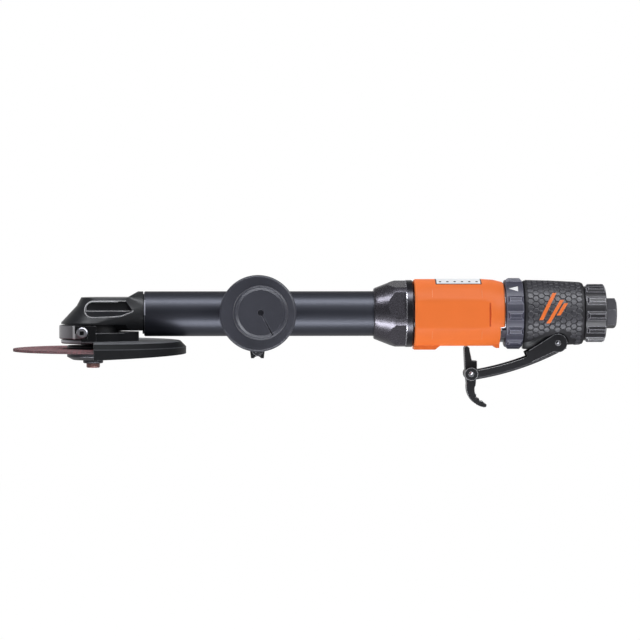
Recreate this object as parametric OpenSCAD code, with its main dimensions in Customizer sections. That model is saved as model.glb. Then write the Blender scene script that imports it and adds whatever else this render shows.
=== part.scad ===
// Pneumatic cut-off tool with a long barrel.
// Angle head, wheel guard, side handle, vane motor and lever throttle.
// Frame: origin in the mouth of the air inlet, +X out of the inlet along the tool axis, +Z up, millimetres.

/* [Air inlet] */
// Hex of the inlet bushing across its flats
inlet_hex_af = 17.5; // [16.6:0.1:20]
// Length of the inlet hex
inlet_hex_len = 7.3; // [5:0.1:12]
// Wall diameter of the tapped inlet
inlet_bore_d = 11.2; // [9:0.1:11.6]
// Depth of the tapped inlet
inlet_bore_len = 12; // [9:0.5:15]
// Journal that carries the exhaust deflector
inlet_journal_d = 15.2; // [14.4:0.1:16]

/* [Exhaust deflector] */
// Length of the deflector ring
deflector_len = 14.1; // [12:0.1:20]
// Outside diameter of the deflector ring
deflector_d = 37.3; // [34:0.1:40]
// Wall of the deflector cup
deflector_wall = 2.4; // [1.8:0.1:3.5]
// Number of ribs around the deflector
deflector_ribs = 11; // [6:1:14]

/* [Grip] */
// Length of the grip sleeve with its front gap
grip_len = 39; // [36:0.5:50]
// Grip diameter at the front
grip_front_d = 42.2; // [40:0.1:44]
// Grip diameter at the rear
grip_rear_d = 39.4; // [38.5:0.1:42]
// Diameter of the handle body under the grip
core_d = 36.4; // [35.6:0.1:37.4]

/* [Regulator ring] */
// Length of the regulator ring
ring_len = 11.6; // [9:0.1:16]
// Height of the regulator ring over the motor housing
ring_over = 0.7; // [0.2:0.1:2]
// Number of rib places around the regulator ring
ring_ribs = 13; // [8:1:16]

/* [Motor] */
// Length of the motor housing
housing_len = 57.6; // [56.8:0.1:64]
// Diameter of the motor housing
housing_d = 44; // [40:0.1:50]
// Wall of the motor housing
housing_wall = 3.6; // [3.2:0.1:4]
// Wall of the motor case
case_wall = 2.7; // [2.2:0.1:3]
// Thinnest wall of the cylinder liner
liner_wall = 1.2; // [0.9:0.1:2]
// Rotor length
rotor_len = 35.6; // [30:0.1:36]
// Offset of the cylinder bore from the rotor
rotor_offset = 1.7; // [1.2:0.1:2]
// Number of vanes
vane_count = 5; // [4:1:6]

/* [Lock nut] */
// Length of the lock nut
nut_len = 25.6; // [22:0.1:30]
// Step from the motor housing down to the lock nut
nut_step = 0.6; // [0.2:0.1:1]
// Diameter of the nose of the lock nut
nut_nose_d = 32.6; // [32:0.1:36]
// Length of the cone of the lock nut
nut_cone_len = 13.6; // [9:0.1:15]
// Depth of the wrench flats of the lock nut
nut_flat_cut = 1.9; // [0.8:0.1:2.4]

/* [Barrel] */
// Barrel length between the head and the lock nut
barrel_len = 146; // [110:1:220]
// Barrel diameter
barrel_d = 28.6; // [28:0.1:29.6]
// Barrel wall
barrel_wall = 3.2; // [2.6:0.1:3.6]

/* [Angle head] */
// Spindle axis to the end of the barrel
head_len = 32.5; // [31.5:0.1:36]
// Flat top of the head above the tool axis
head_top = 10.5; // [10.3:0.1:12]
// Flat underside of the head below the tool axis
head_base = 10.4; // [10.2:0.1:11]
// Rim diameter of the head casting
bell_d = 40.6; // [39:0.1:44]
// Neck that carries the guard clamp
neck_d = 36; // [34:0.1:37]

/* [Bevel gears] */
// Module at the heel of the teeth
gear_module = 1.1; // [1.06:0.01:1.13]
// Pinion teeth
pinion_teeth = 13; // [13:1:13]
// Gear teeth
gear_teeth = 19; // [19:1:19]

/* [Cutting wheel] */
// Wheel diameter
wheel_d = 101.6; // [76:0.2:104]
// Wheel thickness
wheel_t = 1.6; // [1:0.1:2.4]
// Wheel bore
wheel_bore_d = 9.5; // [9.2:0.1:10]
// Diameter of the clamping flanges
flange_d = 33.2; // [28:0.2:38]
// Diameter of the wheel bolt head
bolt_head_d = 8.6; // [7.6:0.1:10]

/* [Wheel guard] */
// Outside diameter of the guard
guard_d = 118.4; // [114:0.2:130]
// Sheet of the guard
guard_t = 1.6; // [1.2:0.1:2]
// Depth of the guard skirt at its mouth
guard_depth = 10.4; // [9:0.1:16]
// Slope of the lower rim of the skirt in degrees
guard_slope = 2.2; // [0:0.1:3]
// Radial thickness of the clamp strap
strap_t = 3.5; // [2.6:0.1:3.7]
// Height of the clamp strap
strap_h = 8.7; // [7:0.1:8.8]

/* [Side handle] */
// Handle axis to the front end of the barrel
handle_from_head = 72; // [50:1:90]
// Angle of the handle above level in degrees
handle_angle = 2; // [-60:1:60]
// Diameter of the handle flange
handle_flange_d = 48.4; // [42:0.2:54]
// Diameter of the handle grip
handle_d = 33; // [30:0.2:38]
// Length of the handle with its flange
handle_len = 100; // [80:1:130]
// Width of the handle clamp along the barrel
clamp_w = 13; // [12:0.5:20]

/* [Throttle lever] */
// Lever pin in front of the rear end of the grip
lever_pin_back = 16.4; // [15:0.1:17.5]
// Lever pin below the tool axis
lever_pin_drop = 18.7; // [18:0.1:19.4]
// Bow radius of the underside of the lever
lever_bow_r = 180; // [170:1:200]
// Height of the lever side walls
lever_wall_h = 5.7; // [5.2:0.1:6.4]
// Sheet of the lever
lever_t = 1.8; // [1.5:0.1:2.1]
// Clear width inside the lever channel
lever_gap_w = 15; // [14.4:0.1:16]

/* [Hidden] */
$fn = 64;
// Overrun of every cut
cut = 1;
// Small overlap that joins two solids of one piece
weld = 0.4;
// Radial clearance of a fixed fit
fit = 0.02;
// Radial clearance of a running fit
run = 0.03;
// Face clearance between pieces that move past each other
gap = 0.3;
// Steps of a small rounded edge
arc_n = 5;
// Share that makes a half
half_share = 0.5;

// Stations along the tool axis, from the inlet to the wheel
x_hex = -inlet_hex_len;
x_def = x_hex - deflector_len;
x_grip = x_def - grip_len;
x_ring = x_grip - ring_len;
x_motor = x_ring - housing_len;
x_nut = x_motor - nut_len;
x_head = x_nut - barrel_len;
x_spin = x_head - head_len;
x_handle = x_head + handle_from_head;

// Radii that several pieces share
core_r = core_d / 2;
housing_r = housing_d / 2;
case_r = housing_r - housing_wall;
case_in_r = case_r - case_wall;
rotor_r = case_in_r - liner_wall - 2 * rotor_offset - gap;
ring_r = housing_r + ring_over;
nut_r = housing_r - nut_step;
barrel_r = barrel_d / 2;
barrel_in_r = barrel_r - barrel_wall;
neck_r = neck_d / 2;
bell_r = bell_d / 2;

// Motor stack
body_spigot_len = 6;
plate_len = 8;
end_gap = 0.2;
liner_len = rotor_len + 2 * end_gap;
x_seat = x_ring - body_spigot_len;
x_rear_plate = x_seat - plate_len;
x_liner = x_rear_plate - liner_len;
x_front_plate = x_liner - plate_len;
nose_len = 11.4;
nose_step = 1.2;
nose_r = case_r - nose_step;
x_nose = x_motor - nose_len;
collar_len = 3.6;
x_collar = x_nose - collar_len;
rotor_bearing_w = 7;
plate_rim = 4.7;
rotor_bearing_r = case_in_r - plate_rim;
journal_r = 4;

// Square drives and couplings of the shaft line
drive_af = 5.4;
drive_len = 7;
coupling_r = 6.5;
coupling_web = 2.6;
coupling_len = 2 * drive_len + coupling_web;
drive_room = 1;
x_rotor_drive = x_front_plate - drive_room;
x_rear_coupling = x_rotor_drive - coupling_len;
pinion_bore_r = 9;

// Bevel pair: both cones meet where the spindle crosses the tool axis
pinion_r = gear_module * pinion_teeth / 2;
gear_r = gear_module * gear_teeth / 2;
pinion_cone = atan(pinion_teeth / gear_teeth);
gear_cone = 90 - pinion_cone;
face_share = 0.332;
toe_share = 1 - face_share;
pressure_angle = 20;
addendum_share = 0.62;
dedendum_share = 0.95;
backlash = 0.14;
flank_n = 4;

// Places of the pinion group behind the spindle axis
pinion_hub_len = 1.8;
pinion_hub_r = 6;
pinion_bearing_w = 6;
pinion_spacer_len = 1;
pinion_shim = 0.2;
retainer_len = 3;
x_pin_heel = x_spin + gear_r;
x_pin_seat = x_pin_heel + pinion_hub_len;
x_pin_bear = x_pin_seat + pinion_shim;
x_pin_bear2 = x_pin_bear + pinion_bearing_w + pinion_spacer_len;
x_retainer = x_pin_bear2 + pinion_bearing_w;
x_pin_drive = x_retainer + retainer_len + pinion_shim;
x_front_coupling = x_pin_drive + pinion_shim;
x_shaft0 = x_front_coupling + coupling_len + gap;
x_shaft1 = x_rear_coupling - gap;

// Levels of the spindle group below the tool axis
gear_back_share = 1.5;
z_gear_back = -pinion_r - gear_back_share * gear_module;
z_low_bear = z_gear_back - gap;
low_bear_w = 6;
low_bear_r = 13;
low_bear_in_r = 5;
z_low_end = z_low_bear - low_bear_w;
cap_spigot = 1.2;
z_neck = z_low_end - cap_spigot;
cap_t = 2.4;
cap_over = 2.4;
cap_r = neck_r + cap_over;
z_cap = z_neck - cap_t;
spindle_collar = 1;
z_collar = z_cap - gap - spindle_collar;
inner_flange_t = 2;
z_wheel = z_collar - inner_flange_t;
z_outer = z_wheel - wheel_t;
outer_flange_t = 5.6;
z_washer = z_outer - outer_flange_t;
washer_t = 2.2;
z_bolt = z_washer - washer_t;
bolt_head_h = 2.9;
bolt_r = 3;
pilot_r = wheel_bore_d / 2 - run;
up_bear_r = 5.5;
up_bear_in_r = 3;
up_bear_w = 4.6;
head_roof_t = 1.6;
z_up_bear = head_top - head_roof_t - up_bear_w;

// Guard and strap levels
strap_in_r = neck_r + run;
strap_r = strap_in_r + strap_t;
strap_drop = 0.7;
rim_drop = 6.3;
z_strap = -rim_drop - strap_drop;
z_strap_low = z_strap - strap_h;
plate_drop = 0.7;
z_guard = z_neck - plate_drop;
hub_top_gap = 1.1;
z_hub = -head_base - hub_top_gap;
guard_r = guard_d / 2;
guard_hole_r = cap_r + 3 * gap;
lug_over = 3.8;
lug_r = strap_r + lug_over;
hub_reach = 29;
guard_screw_ahead = 6.1;
guard_screw_x = -guard_screw_ahead;
guard_screw_r = 2;
guard_screw_head_r = 3.7;
z_guard_screw = z_strap - strap_h * half_share;

// Lever and lock geometry in the X-Z plane
x_pin = x_def - lever_pin_back;
z_pin = -lever_pin_drop;
lever_tail_back = 5.7;
lever_tail_drop = 3.4;
lever_rear_a = 28.7;
lever_front_a = 8.3;
lever_web_a = 11.4;
lever_ear_a = 20.6;
x_bow = x_pin + lever_tail_back - lever_bow_r * sin(lever_rear_a);
z_bow = z_pin - lever_tail_drop + lever_bow_r * cos(lever_rear_a);
lever_pin_r = 1.6;
ear_r = 5.9;
ear_front_h = 8.6;
eye_r = 4.1;
lock_pin_r = 1.5;
lug_half = lever_gap_w / 2 - gap;
lever_half = lever_gap_w / 2 + lever_t;
lock_half = 4.6;
pocket_r = ear_r + 2 * gap;

function bow(a, up) = [x_bow + (lever_bow_r - up) * sin(a), z_bow - (lever_bow_r - up) * cos(a)];
eye_sink = 0.18;
lock_at = bow(lever_front_a, eye_r - eye_sink);
x_lock = lock_at[0];
z_lock = lock_at[1];

// Valve under the lever
valve_ahead = 15.2;
x_valve = x_pin - valve_ahead;
stem_r = 1.6;
valve_r = 4.4;
boss_drop = 22.6;
boss_front = 6.6;
boss_back = 7.2;
z_boss = -boss_drop;
z_seat = -9;
valve_head_t = 2.5;
valve_head_r = 3.6;
valve_top = 6;
bushing_land = 1.6;
bushing_waist = 4.6;
z_feed = z_seat - bushing_land - bushing_waist * half_share;
web_slope = asin((x_valve - x_bow) / (lever_bow_r - lever_t));
z_web = z_bow - (lever_bow_r - lever_t) * cos(web_slope);
z_dome = z_web + (stem_r + gap) / cos(web_slope);
spring_wire_r = 0.4;
spring_r = 2.7;
spring_turns = 6;

// Shared building blocks

function arc(cx, cy, r, a0, a1, n = arc_n) =
    [for (i = [0:n]) [cx + r * cos(a0 + (a1 - a0) * i / n), cy + r * sin(a0 + (a1 - a0) * i / n)]];

// Bar along X
module rod_x(x0, x1, r) {
    translate([x0, 0, 0]) rotate([0, 90, 0]) cylinder(h = x1 - x0, r = r);
}

// Bar along Y
module rod_y(x, z, y0, y1, r) {
    translate([x, y1, z]) rotate([90, 0, 0]) cylinder(h = y1 - y0, r = r);
}

// Bar along Z
module rod_z(x, z0, z1, r) {
    translate([x, 0, z0]) cylinder(h = z1 - z0, r = r);
}

// Tube along X
module tube_x(x0, x1, r_out, r_in) {
    difference() {
        rod_x(x0, x1, r_out);
        rod_x(x0 - cut, x1 + cut, r_in);
    }
}

// Body turned about the tool axis from an outline of [x, r]
module turned_x(outline) {
    rotate([0, 90, 0]) rotate_extrude() polygon([for (p = outline) [p[1], p[0]]]);
}

// Body turned about a vertical axis at x from an outline of [r, z]
module turned_z(x, outline) {
    translate([x, 0, 0]) rotate_extrude() polygon(outline);
}

// Plate of an X-Z outline between y0 and y1
module plate_y(y0, y1) {
    translate([0, y1, 0]) rotate([90, 0, 0]) linear_extrude(height = y1 - y0) children();
}

// Box between two corners
module box(a, b) {
    translate(a) cube(b - a);
}

// Square bar along X
module square_x(x0, x1, af) {
    box([x0, -af / 2, -af / 2], [x1, af / 2, af / 2]);
}

// Ball bearing along +Z: two races and their balls
race_share = 0.27;
ball_pitch_share = 1.3;
module ball_bearing(w, r_out, r_in) {
    race = race_share * (r_out - r_in);
    track_in = r_in + race;
    track_out = r_out - race;
    ball_r = (track_out - track_in) / 2 - run;
    pitch_r = (track_out + track_in) / 2;
    balls = floor(PI * pitch_r / (ball_r * ball_pitch_share));
    difference() {
        cylinder(h = w, r = r_out);
        translate([0, 0, -cut]) cylinder(h = w + 2 * cut, r = track_out);
    }
    difference() {
        cylinder(h = w, r = track_in);
        translate([0, 0, -cut]) cylinder(h = w + 2 * cut, r = r_in);
    }
    for (i = [0:balls - 1]) {
        rotate([0, 0, i * 360 / balls]) translate([pitch_r, 0, w / 2]) sphere(r = ball_r);
    }
}

module bearing_x(x0, w, r_out, r_in) {
    translate([x0, 0, 0]) rotate([0, 90, 0]) ball_bearing(w, r_out, r_in);
}

// Round wire wound about Z from z0 to z1
coil_steps = 16;
coil_sides = 8;
function coil_path(r, turns, z0, z1) = let (n = turns * coil_steps)
    [for (i = [0:n]) [r * cos(i * 360 / coil_steps), r * sin(i * 360 / coil_steps),
    z0 + (z1 - z0) * i / n]];

// Least gap of a coil to itself, between points at least half a turn apart
function coil_gap(path, wire_r) = min([for (i = [0:len(path) - 1])
    for (j = [i + coil_steps / 2:1:len(path) - 1]) norm(path[i] - path[j])]) - 2 * wire_r;

module coil(r, wire_r, turns, z0, z1) {
    n = turns * coil_steps;
    rings = [for (i = [0:n]) let (a = i * 360 / coil_steps, z = z0 + (z1 - z0) * i / n)
        for (j = [0:coil_sides - 1]) let (s = j * 360 / coil_sides)
            [(r + wire_r * cos(s)) * cos(a), (r + wire_r * cos(s)) * sin(a), z + wire_r * sin(s)]];
    sides = [for (i = [0:n - 1]) for (j = [0:coil_sides - 1]) let (k = (j + 1) % coil_sides)
        [i * coil_sides + j, i * coil_sides + k, (i + 1) * coil_sides + k, (i + 1) * coil_sides + j]];
    front = [[for (j = [coil_sides - 1:-1:0]) j]];
    back = [[for (j = [0:coil_sides - 1]) n * coil_sides + j]];
    polyhedron(points = rings, faces = concat([for (f = sides) [f[3], f[2], f[1], f[0]]],
        [for (f = front) [for (j = [coil_sides - 1:-1:0]) f[j]]],
        [for (f = back) [for (j = [coil_sides - 1:-1:0]) f[j]]]));
}

// Straight bevel teeth: outline in the heel plane, drawn out to the cone apex

function involute(r, base) = let (c = min(1, base / r), a = acos(c)) tan(a) * 180 / PI - a;

// Half angle of a tooth on its back cone at radius p
function tooth_half(p, back_r, teeth_v) =
    (90 - backlash / gear_module * 180 / PI) / teeth_v
    + involute(back_r, back_r * cos(pressure_angle)) - involute(p, back_r * cos(pressure_angle));

// Radius in the heel plane of a point p on the back cone
function heel_r(p, back_r, cone, z0) = p * cos(cone) * z0 / (z0 - (p - back_r) * sin(cone));

function tooth_outline(teeth, r, cone, z0, turn) =
    let (back_r = r / cos(cone), teeth_v = teeth / cos(cone),
        tip = back_r + addendum_share * gear_module, root = back_r - dedendum_share * gear_module,
        low = max(root, back_r * cos(pressure_angle)))
    [for (t = [0:teeth - 1]) let (mid = turn + t * 360 / teeth)
        each concat(
            [[heel_r(root, back_r, cone, z0), mid - tooth_half(low, back_r, teeth_v) / cos(cone)]],
            [for (i = [0:flank_n]) let (p = low + (tip - low) * i / flank_n)
                [heel_r(p, back_r, cone, z0), mid - tooth_half(p, back_r, teeth_v) / cos(cone)]],
            [for (i = [0:flank_n]) let (p = tip - (tip - low) * i / flank_n)
                [heel_r(p, back_r, cone, z0), mid + tooth_half(p, back_r, teeth_v) / cos(cone)]],
            [[heel_r(root, back_r, cone, z0), mid + tooth_half(low, back_r, teeth_v) / cos(cone)]])];

function polar(list) = [for (p = list) [p[0] * cos(p[1]), p[0] * sin(p[1])]];

// Angle head

// Milled pocket in the side of the head: a flat floor, a sloped lower wall and a round front end
pocket_floor_y = 11;
pocket_mouth_y = 24;
pocket_sheet = 0.2;
pocket_crease = 2;
pocket_floor_end = 0.2;
pocket_floor_z = 3.4;
pocket_floor_r = 4.6;
pocket_floor_len = 23;
pocket_floor_top_len = 20.3;
pocket_crease_turn = 198;
pocket_mouth_end = 1;
pocket_mouth_z = 2.2;
pocket_mouth_r = 6.5;
pocket_mouth_low_len = 12;
pocket_mouth_len = 31;
pocket_mouth_top_len = 27;
pocket_n = 10;
module head_pocket() {
    hull() {
        plate_y(-pocket_floor_y, pocket_sheet - pocket_floor_y) translate([x_spin, 0])
            polygon(concat(
                arc(pocket_floor_end, pocket_floor_z, pocket_floor_r, 90, pocket_crease_turn, pocket_n),
                [[pocket_floor_len, pocket_crease],
                [pocket_floor_top_len, pocket_floor_z + pocket_floor_r]]));
        plate_y(-pocket_mouth_y, pocket_sheet - pocket_mouth_y) translate([x_spin, 0])
            polygon(concat(arc(pocket_mouth_end, pocket_mouth_z, pocket_mouth_r, 90, 270, pocket_n),
                [[pocket_mouth_low_len, pocket_mouth_z - pocket_mouth_r], [pocket_mouth_len, pocket_crease],
                [pocket_mouth_top_len, pocket_mouth_z + pocket_mouth_r]]));
    }
}

crown_back = 4.5;
crown_r = 11.8;
knee_back = 4.3;
knee_r = 14.7;
knee_z = 5.2;
rim_h = 0.9;
ramp_start = 22.1;
ramp_end = 28.7;
ramp_slope_share = (barrel_r - head_top) / (ramp_end - ramp_start);
head_spigot_len = 12;
groove_w = 0.6;
groove_d = 1.6;
cavity_r = 12.9;
cavity_up = 3.1;
cavity_top = 2.6;
cavity_top_r = 4.6;
toe_room = 0.6;
hull_n = 48;

// Outside of the casting: the bell runs over its knee and its crown into the barrel
module head_form() {
    module neck_end() {
        rod_x(x_spin + ramp_end - cut, x_head - groove_w, barrel_r, $fn = hull_n);
    }
    module knee() {
        rod_z(x_spin + knee_back, knee_z - weld, knee_z, knee_r, $fn = hull_n);
    }
    difference() {
        union() {
            hull() {
                rod_z(x_spin, -rim_drop - weld, rim_h - rim_drop, bell_r, $fn = hull_n);
                knee();
                neck_end();
            }
            hull() {
                knee();
                rod_z(x_spin + crown_back, head_top, head_top + weld, crown_r, $fn = hull_n);
                box([x_spin + crown_back, -crown_r, head_top],
                    [x_spin + ramp_start, crown_r, head_top + weld]);
                neck_end();
            }
        }
        rod_z(x_spin, -barrel_d, -rim_drop, lug_r + weld + 2 * gap);
    }
}

module head_housing() {
    color("#2b2c30") difference() {
        union() {
            difference() {
                union() {
                    head_form();
                    rod_x(x_spin, x_head - groove_w - weld, barrel_r - weld);
                }
                box([x_spin - bell_d, -bell_d, -bell_d], [x_head, bell_d, -head_base]);
                plate_y(-bell_d, bell_d) translate([x_spin, 0]) polygon([[-bell_d, head_top],
                    [ramp_start, head_top], [ramp_end + cut, barrel_r + cut * ramp_slope_share],
                    [ramp_end + cut, bell_d], [-bell_d, bell_d]]);
            }
            rod_z(x_spin, z_neck, weld - rim_drop, neck_r);
            rod_x(x_head - groove_w - weld, x_head, barrel_r - groove_d);
            rod_x(x_head - weld, x_head + head_spigot_len, barrel_in_r - fit);
        }
        head_pocket();
        mirror([0, 1, 0]) head_pocket();
        turned_z(x_spin, [[0, z_low_bear], [low_bear_r + fit, z_low_bear],
            [low_bear_r + fit, z_neck - cut],
            [0, z_neck - cut]]);
        turned_z(x_spin, [[0, z_low_bear - weld], [cavity_r - cut, z_low_bear - weld],
            [cavity_r, z_low_bear + cut], [cavity_r, -cavity_up], [cavity_top_r, cavity_top],
            [0, cavity_top]]);
        rod_z(x_spin, cavity_top - weld, z_up_bear, up_bear_in_r + cut);
        rod_z(x_spin, z_up_bear, z_up_bear + up_bear_w, up_bear_r + fit);
        rod_x(x_spin + gear_r * toe_share - toe_room, x_head + head_spigot_len + cut,
            pinion_bore_r + fit);
    }
}

cap_in_r = 6.4;
cap_slots = 2;
cap_slot_w = 3;
cap_chamfer = 0.6;
module bearing_cap() {
    color("#3c3d42") difference() {
        turned_z(x_spin, [[cap_in_r, z_cap], [cap_r - cap_chamfer, z_cap], [cap_r, z_cap + cap_chamfer],
            [cap_r, z_neck], [low_bear_r - fit, z_neck], [low_bear_r - fit, z_low_end],
            [cap_in_r + cut, z_low_end],
            [cap_in_r + cut, z_neck], [cap_in_r, z_neck]]);
        for (i = [0:cap_slots - 1]) {
            translate([x_spin, 0, 0]) rotate([0, 0, i * 360 / cap_slots])
                box([cap_in_r + 3 * cut, -cap_slot_w / 2, z_cap - cut],
                    [cap_r - 3 * cut, cap_slot_w / 2, z_cap + cap_chamfer]);
        }
    }
}

module spindle_lower_bearing() {
    color("#b9bcc2") translate([x_spin, 0, z_low_end]) ball_bearing(low_bear_w, low_bear_r,
        low_bear_in_r + run);
}

module spindle_upper_bearing() {
    color("#b9bcc2") translate([x_spin, 0, z_up_bear]) ball_bearing(up_bear_w, up_bear_r,
        up_bear_in_r + run);
}

gear_seat_r = 4.4;
spindle_mid_r = 3.6;
collar_r = 7.6;
pilot_over = 1.2;
tap_depth = 9;
module spindle() {
    color("#a9adb3") difference() {
        turned_z(x_spin, [[0, z_up_bear + up_bear_w - gap], [up_bear_in_r, z_up_bear + up_bear_w - gap],
            [up_bear_in_r, z_up_bear - gap], [spindle_mid_r, z_up_bear - gap],
            [spindle_mid_r, -pinion_r * toe_share], [gear_seat_r, -pinion_r * toe_share],
            [gear_seat_r, z_gear_back], [low_bear_in_r, z_gear_back],
            [low_bear_in_r, z_collar + spindle_collar],
            [collar_r, z_collar + spindle_collar], [collar_r, z_collar], [pilot_r, z_collar],
            [pilot_r, z_outer - pilot_over], [0, z_outer - pilot_over]]);
        rod_z(x_spin, z_outer - pilot_over - cut, z_outer - pilot_over + tap_depth, bolt_r + fit);
    }
}

gear_back_r = 8;
module bevel_gear() {
    color("#8d9096") difference() {
        union() {
            translate([x_spin, 0, -pinion_r]) linear_extrude(height = pinion_r * face_share,
                scale = toe_share)
                polygon(polar(tooth_outline(gear_teeth, gear_r, gear_cone, pinion_r, 180 / gear_teeth)));
            rod_z(x_spin, z_gear_back, -pinion_r, gear_back_r);
        }
        rod_z(x_spin, z_gear_back - cut, 0, gear_seat_r + fit);
    }
}

module bevel_pinion() {
    color("#8d9096") union() {
        translate([x_pin_heel, 0, 0]) rotate([0, -90, 0])
            linear_extrude(height = gear_r * face_share, scale = toe_share)
                polygon(polar(tooth_outline(pinion_teeth, pinion_r, pinion_cone, gear_r, 180)));
        rod_x(x_pin_heel, x_pin_seat, pinion_hub_r);
        rod_x(x_pin_heel, x_pin_drive, journal_r);
        square_x(x_pin_drive, x_pin_drive + drive_len, drive_af);
    }
}

module pinion_bearings() {
    color("#b9bcc2") {
        bearing_x(x_pin_bear, pinion_bearing_w, pinion_bore_r, journal_r + run);
        tube_x(x_pin_bear + pinion_bearing_w, x_pin_bear2, pinion_bore_r, pinion_hub_r);
        bearing_x(x_pin_bear2, pinion_bearing_w, pinion_bore_r, journal_r + run);
    }
}

retainer_slot_w = 2;
module pinion_retainer() {
    color("#3c3d42") difference() {
        tube_x(x_retainer, x_retainer + retainer_len, pinion_bore_r, pinion_hub_r);
        box([x_retainer + retainer_len * half_share, -pinion_bore_r - cut, -retainer_slot_w / 2],
            [x_retainer + retainer_len + cut, pinion_bore_r + cut, retainer_slot_w / 2]);
    }
}

// Wheel clamping stack

flange_r = flange_d / 2;
flange_chamfer = 0.5;
flange_dish = 0.6;
flange_land = 4;
module inner_flange() {
    color("#34353a") turned_z(x_spin, [[pilot_r + fit, z_wheel + flange_dish],
        [flange_r - flange_land, z_wheel + flange_dish],
        [flange_r - flange_land, z_wheel], [flange_r - flange_chamfer, z_wheel],
        [flange_r, z_wheel + flange_chamfer],
        [flange_r, z_collar - flange_chamfer], [flange_r - flange_chamfer, z_collar],
        [pilot_r + fit, z_collar]]);
}

module cutting_wheel() {
    color("#6a424b") turned_z(x_spin, [[pilot_r + fit, z_outer], [wheel_d / 2, z_outer],
        [wheel_d / 2, z_wheel],
        [pilot_r + fit, z_wheel]]);
}

outer_bevel = 2;
outer_bevel_r = 3.8;
module outer_flange() {
    color("#34353a") turned_z(x_spin, [[bolt_r + run, z_washer], [flange_r - outer_bevel_r, z_washer],
        [flange_r, z_washer + outer_bevel], [flange_r, z_outer - flange_chamfer],
        [flange_r - flange_chamfer, z_outer],
        [flange_r - flange_land, z_outer], [flange_r - flange_land, z_outer - flange_dish],
        [pilot_r + fit, z_outer - flange_dish], [pilot_r + fit, z_outer - pilot_over - gap],
        [bolt_r + run, z_outer - pilot_over - gap]]);
}

washer_r = 6.4;
washer_chamfer = 0.5;
module bolt_washer() {
    color("#46474c") turned_z(x_spin, [[bolt_r + run, z_bolt], [washer_r - washer_chamfer, z_bolt],
        [washer_r, z_bolt + washer_chamfer], [washer_r, z_washer - washer_chamfer],
        [washer_r - washer_chamfer, z_washer],
        [bolt_r + run, z_washer]]);
}

bolt_round = 0.8;
bolt_socket_af = 4;
bolt_socket_depth = 1.8;
bolt_grip = 6.5;
module wheel_bolt() {
    head_r = bolt_head_d / 2;
    z_low = z_bolt - bolt_head_h;
    color("#3a3033") difference() {
        turned_z(x_spin, concat([[0, z_low]], arc(head_r - bolt_round, z_low + bolt_round, bolt_round,
            -90, 0),
            [[head_r, z_bolt], [bolt_r, z_bolt], [bolt_r, z_outer + bolt_grip - pilot_over],
            [0, z_outer + bolt_grip - pilot_over]]));
        translate([x_spin, 0, z_low - cut]) cylinder(h = bolt_socket_depth + cut,
            d = bolt_socket_af / cos(30), $fn = 6);
    }
}

// Guard

shell_bevel = 3.7;
skirt_over = 6;
guard_span = 88;
hub_span = 86;
strap_span = 87;
lug_span = [84, 115];
hub_low = 0.2;
arm_root = 14;
arm_root_w = 20;
arm_tip_w = 9;
lug_scoop = 4.6;
lug_scoop_ahead = 11.4;
lug_scoop_drop = 16.4;

// Ring sector about the spindle from an outline of [r, z]
module sector(a0, a1, outline) {
    translate([x_spin, 0, 0]) rotate([0, 0, a0]) rotate_extrude(angle = a1 - a0) polygon(outline);
}

// Plane ring sector between two radii and two levels
module ring_sector(a0, a1, r0, r1, z0, z1) {
    sector(a0, a1, [[r0, z0], [r1, z0], [r1, z1], [r0, z1]]);
}

module guard_lug() {
    difference() {
        ring_sector(-lug_span[1], -lug_span[0], strap_r + run, lug_r + weld,
            z_guard - guard_t * half_share, z_strap);
        rod_y(x_spin - lug_scoop_ahead, -lug_scoop_drop, -lug_r - cut, 0, lug_scoop);
        rod_y(x_spin + guard_screw_x, z_guard_screw, -lug_r - cut, 0, guard_screw_r + fit);
        rod_y(x_spin + guard_screw_x, z_guard_screw, -lug_r - cut, -lug_r + lug_over * half_share,
            guard_screw_head_r + gap);
    }
}

module wheel_guard() {
    shell_in = guard_r - guard_t;
    bevel_in = shell_bevel - guard_t * half_share;
    z_rim = z_guard - guard_depth;
    color("#26272a") union() {
        difference() {
            sector(-guard_span, guard_span, [[guard_hole_r, z_guard], [guard_r - shell_bevel, z_guard],
                [guard_r, z_guard - shell_bevel],
                [guard_r, z_rim - skirt_over], [shell_in, z_rim - skirt_over],
                [shell_in, z_guard - guard_t - bevel_in],
                [shell_in - bevel_in, z_guard - guard_t], [guard_hole_r, z_guard - guard_t]]);
            translate([x_spin, 0, z_rim]) rotate([0, -guard_slope, 0])
                box([-guard_r, -guard_d, -guard_d], [guard_d, guard_d, 0]);
        }
        sector(-hub_span, hub_span, [[strap_in_r, z_strap_low + hub_low], [strap_in_r, z_hub],
            [lug_r, z_hub],
            [lug_r, z_guard - guard_t * half_share], [guard_hole_r + weld,
            z_guard - guard_t * half_share],
            [guard_hole_r + weld, z_strap_low + hub_low]]);
        difference() {
            translate([x_spin, 0, z_guard - guard_t * half_share])
                linear_extrude(height = z_hub - z_guard + guard_t * half_share)
                    polygon([[arm_root, -arm_root_w], [hub_reach, -arm_tip_w], [hub_reach, arm_tip_w],
                        [arm_root, arm_root_w]]);
            rod_z(x_spin, z_guard - guard_t - cut, z_hub + cut, lug_r - weld);
        }
        guard_lug();
        mirror([0, 1, 0]) guard_lug();
    }
}

strap_edge = 0.5;
module guard_strap() {
    color("#717176") difference() {
        sector(180 - strap_span, 180 + strap_span, [[strap_in_r, z_strap_low],
            [strap_r - strap_edge, z_strap_low],
            [strap_r, z_strap_low + strap_edge], [strap_r, z_strap - strap_edge],
            [strap_r - strap_edge, z_strap],
            [strap_in_r, z_strap]]);
        rod_y(x_spin + guard_screw_x, z_guard_screw, -lug_r, lug_r, guard_screw_r + fit);
    }
}

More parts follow.
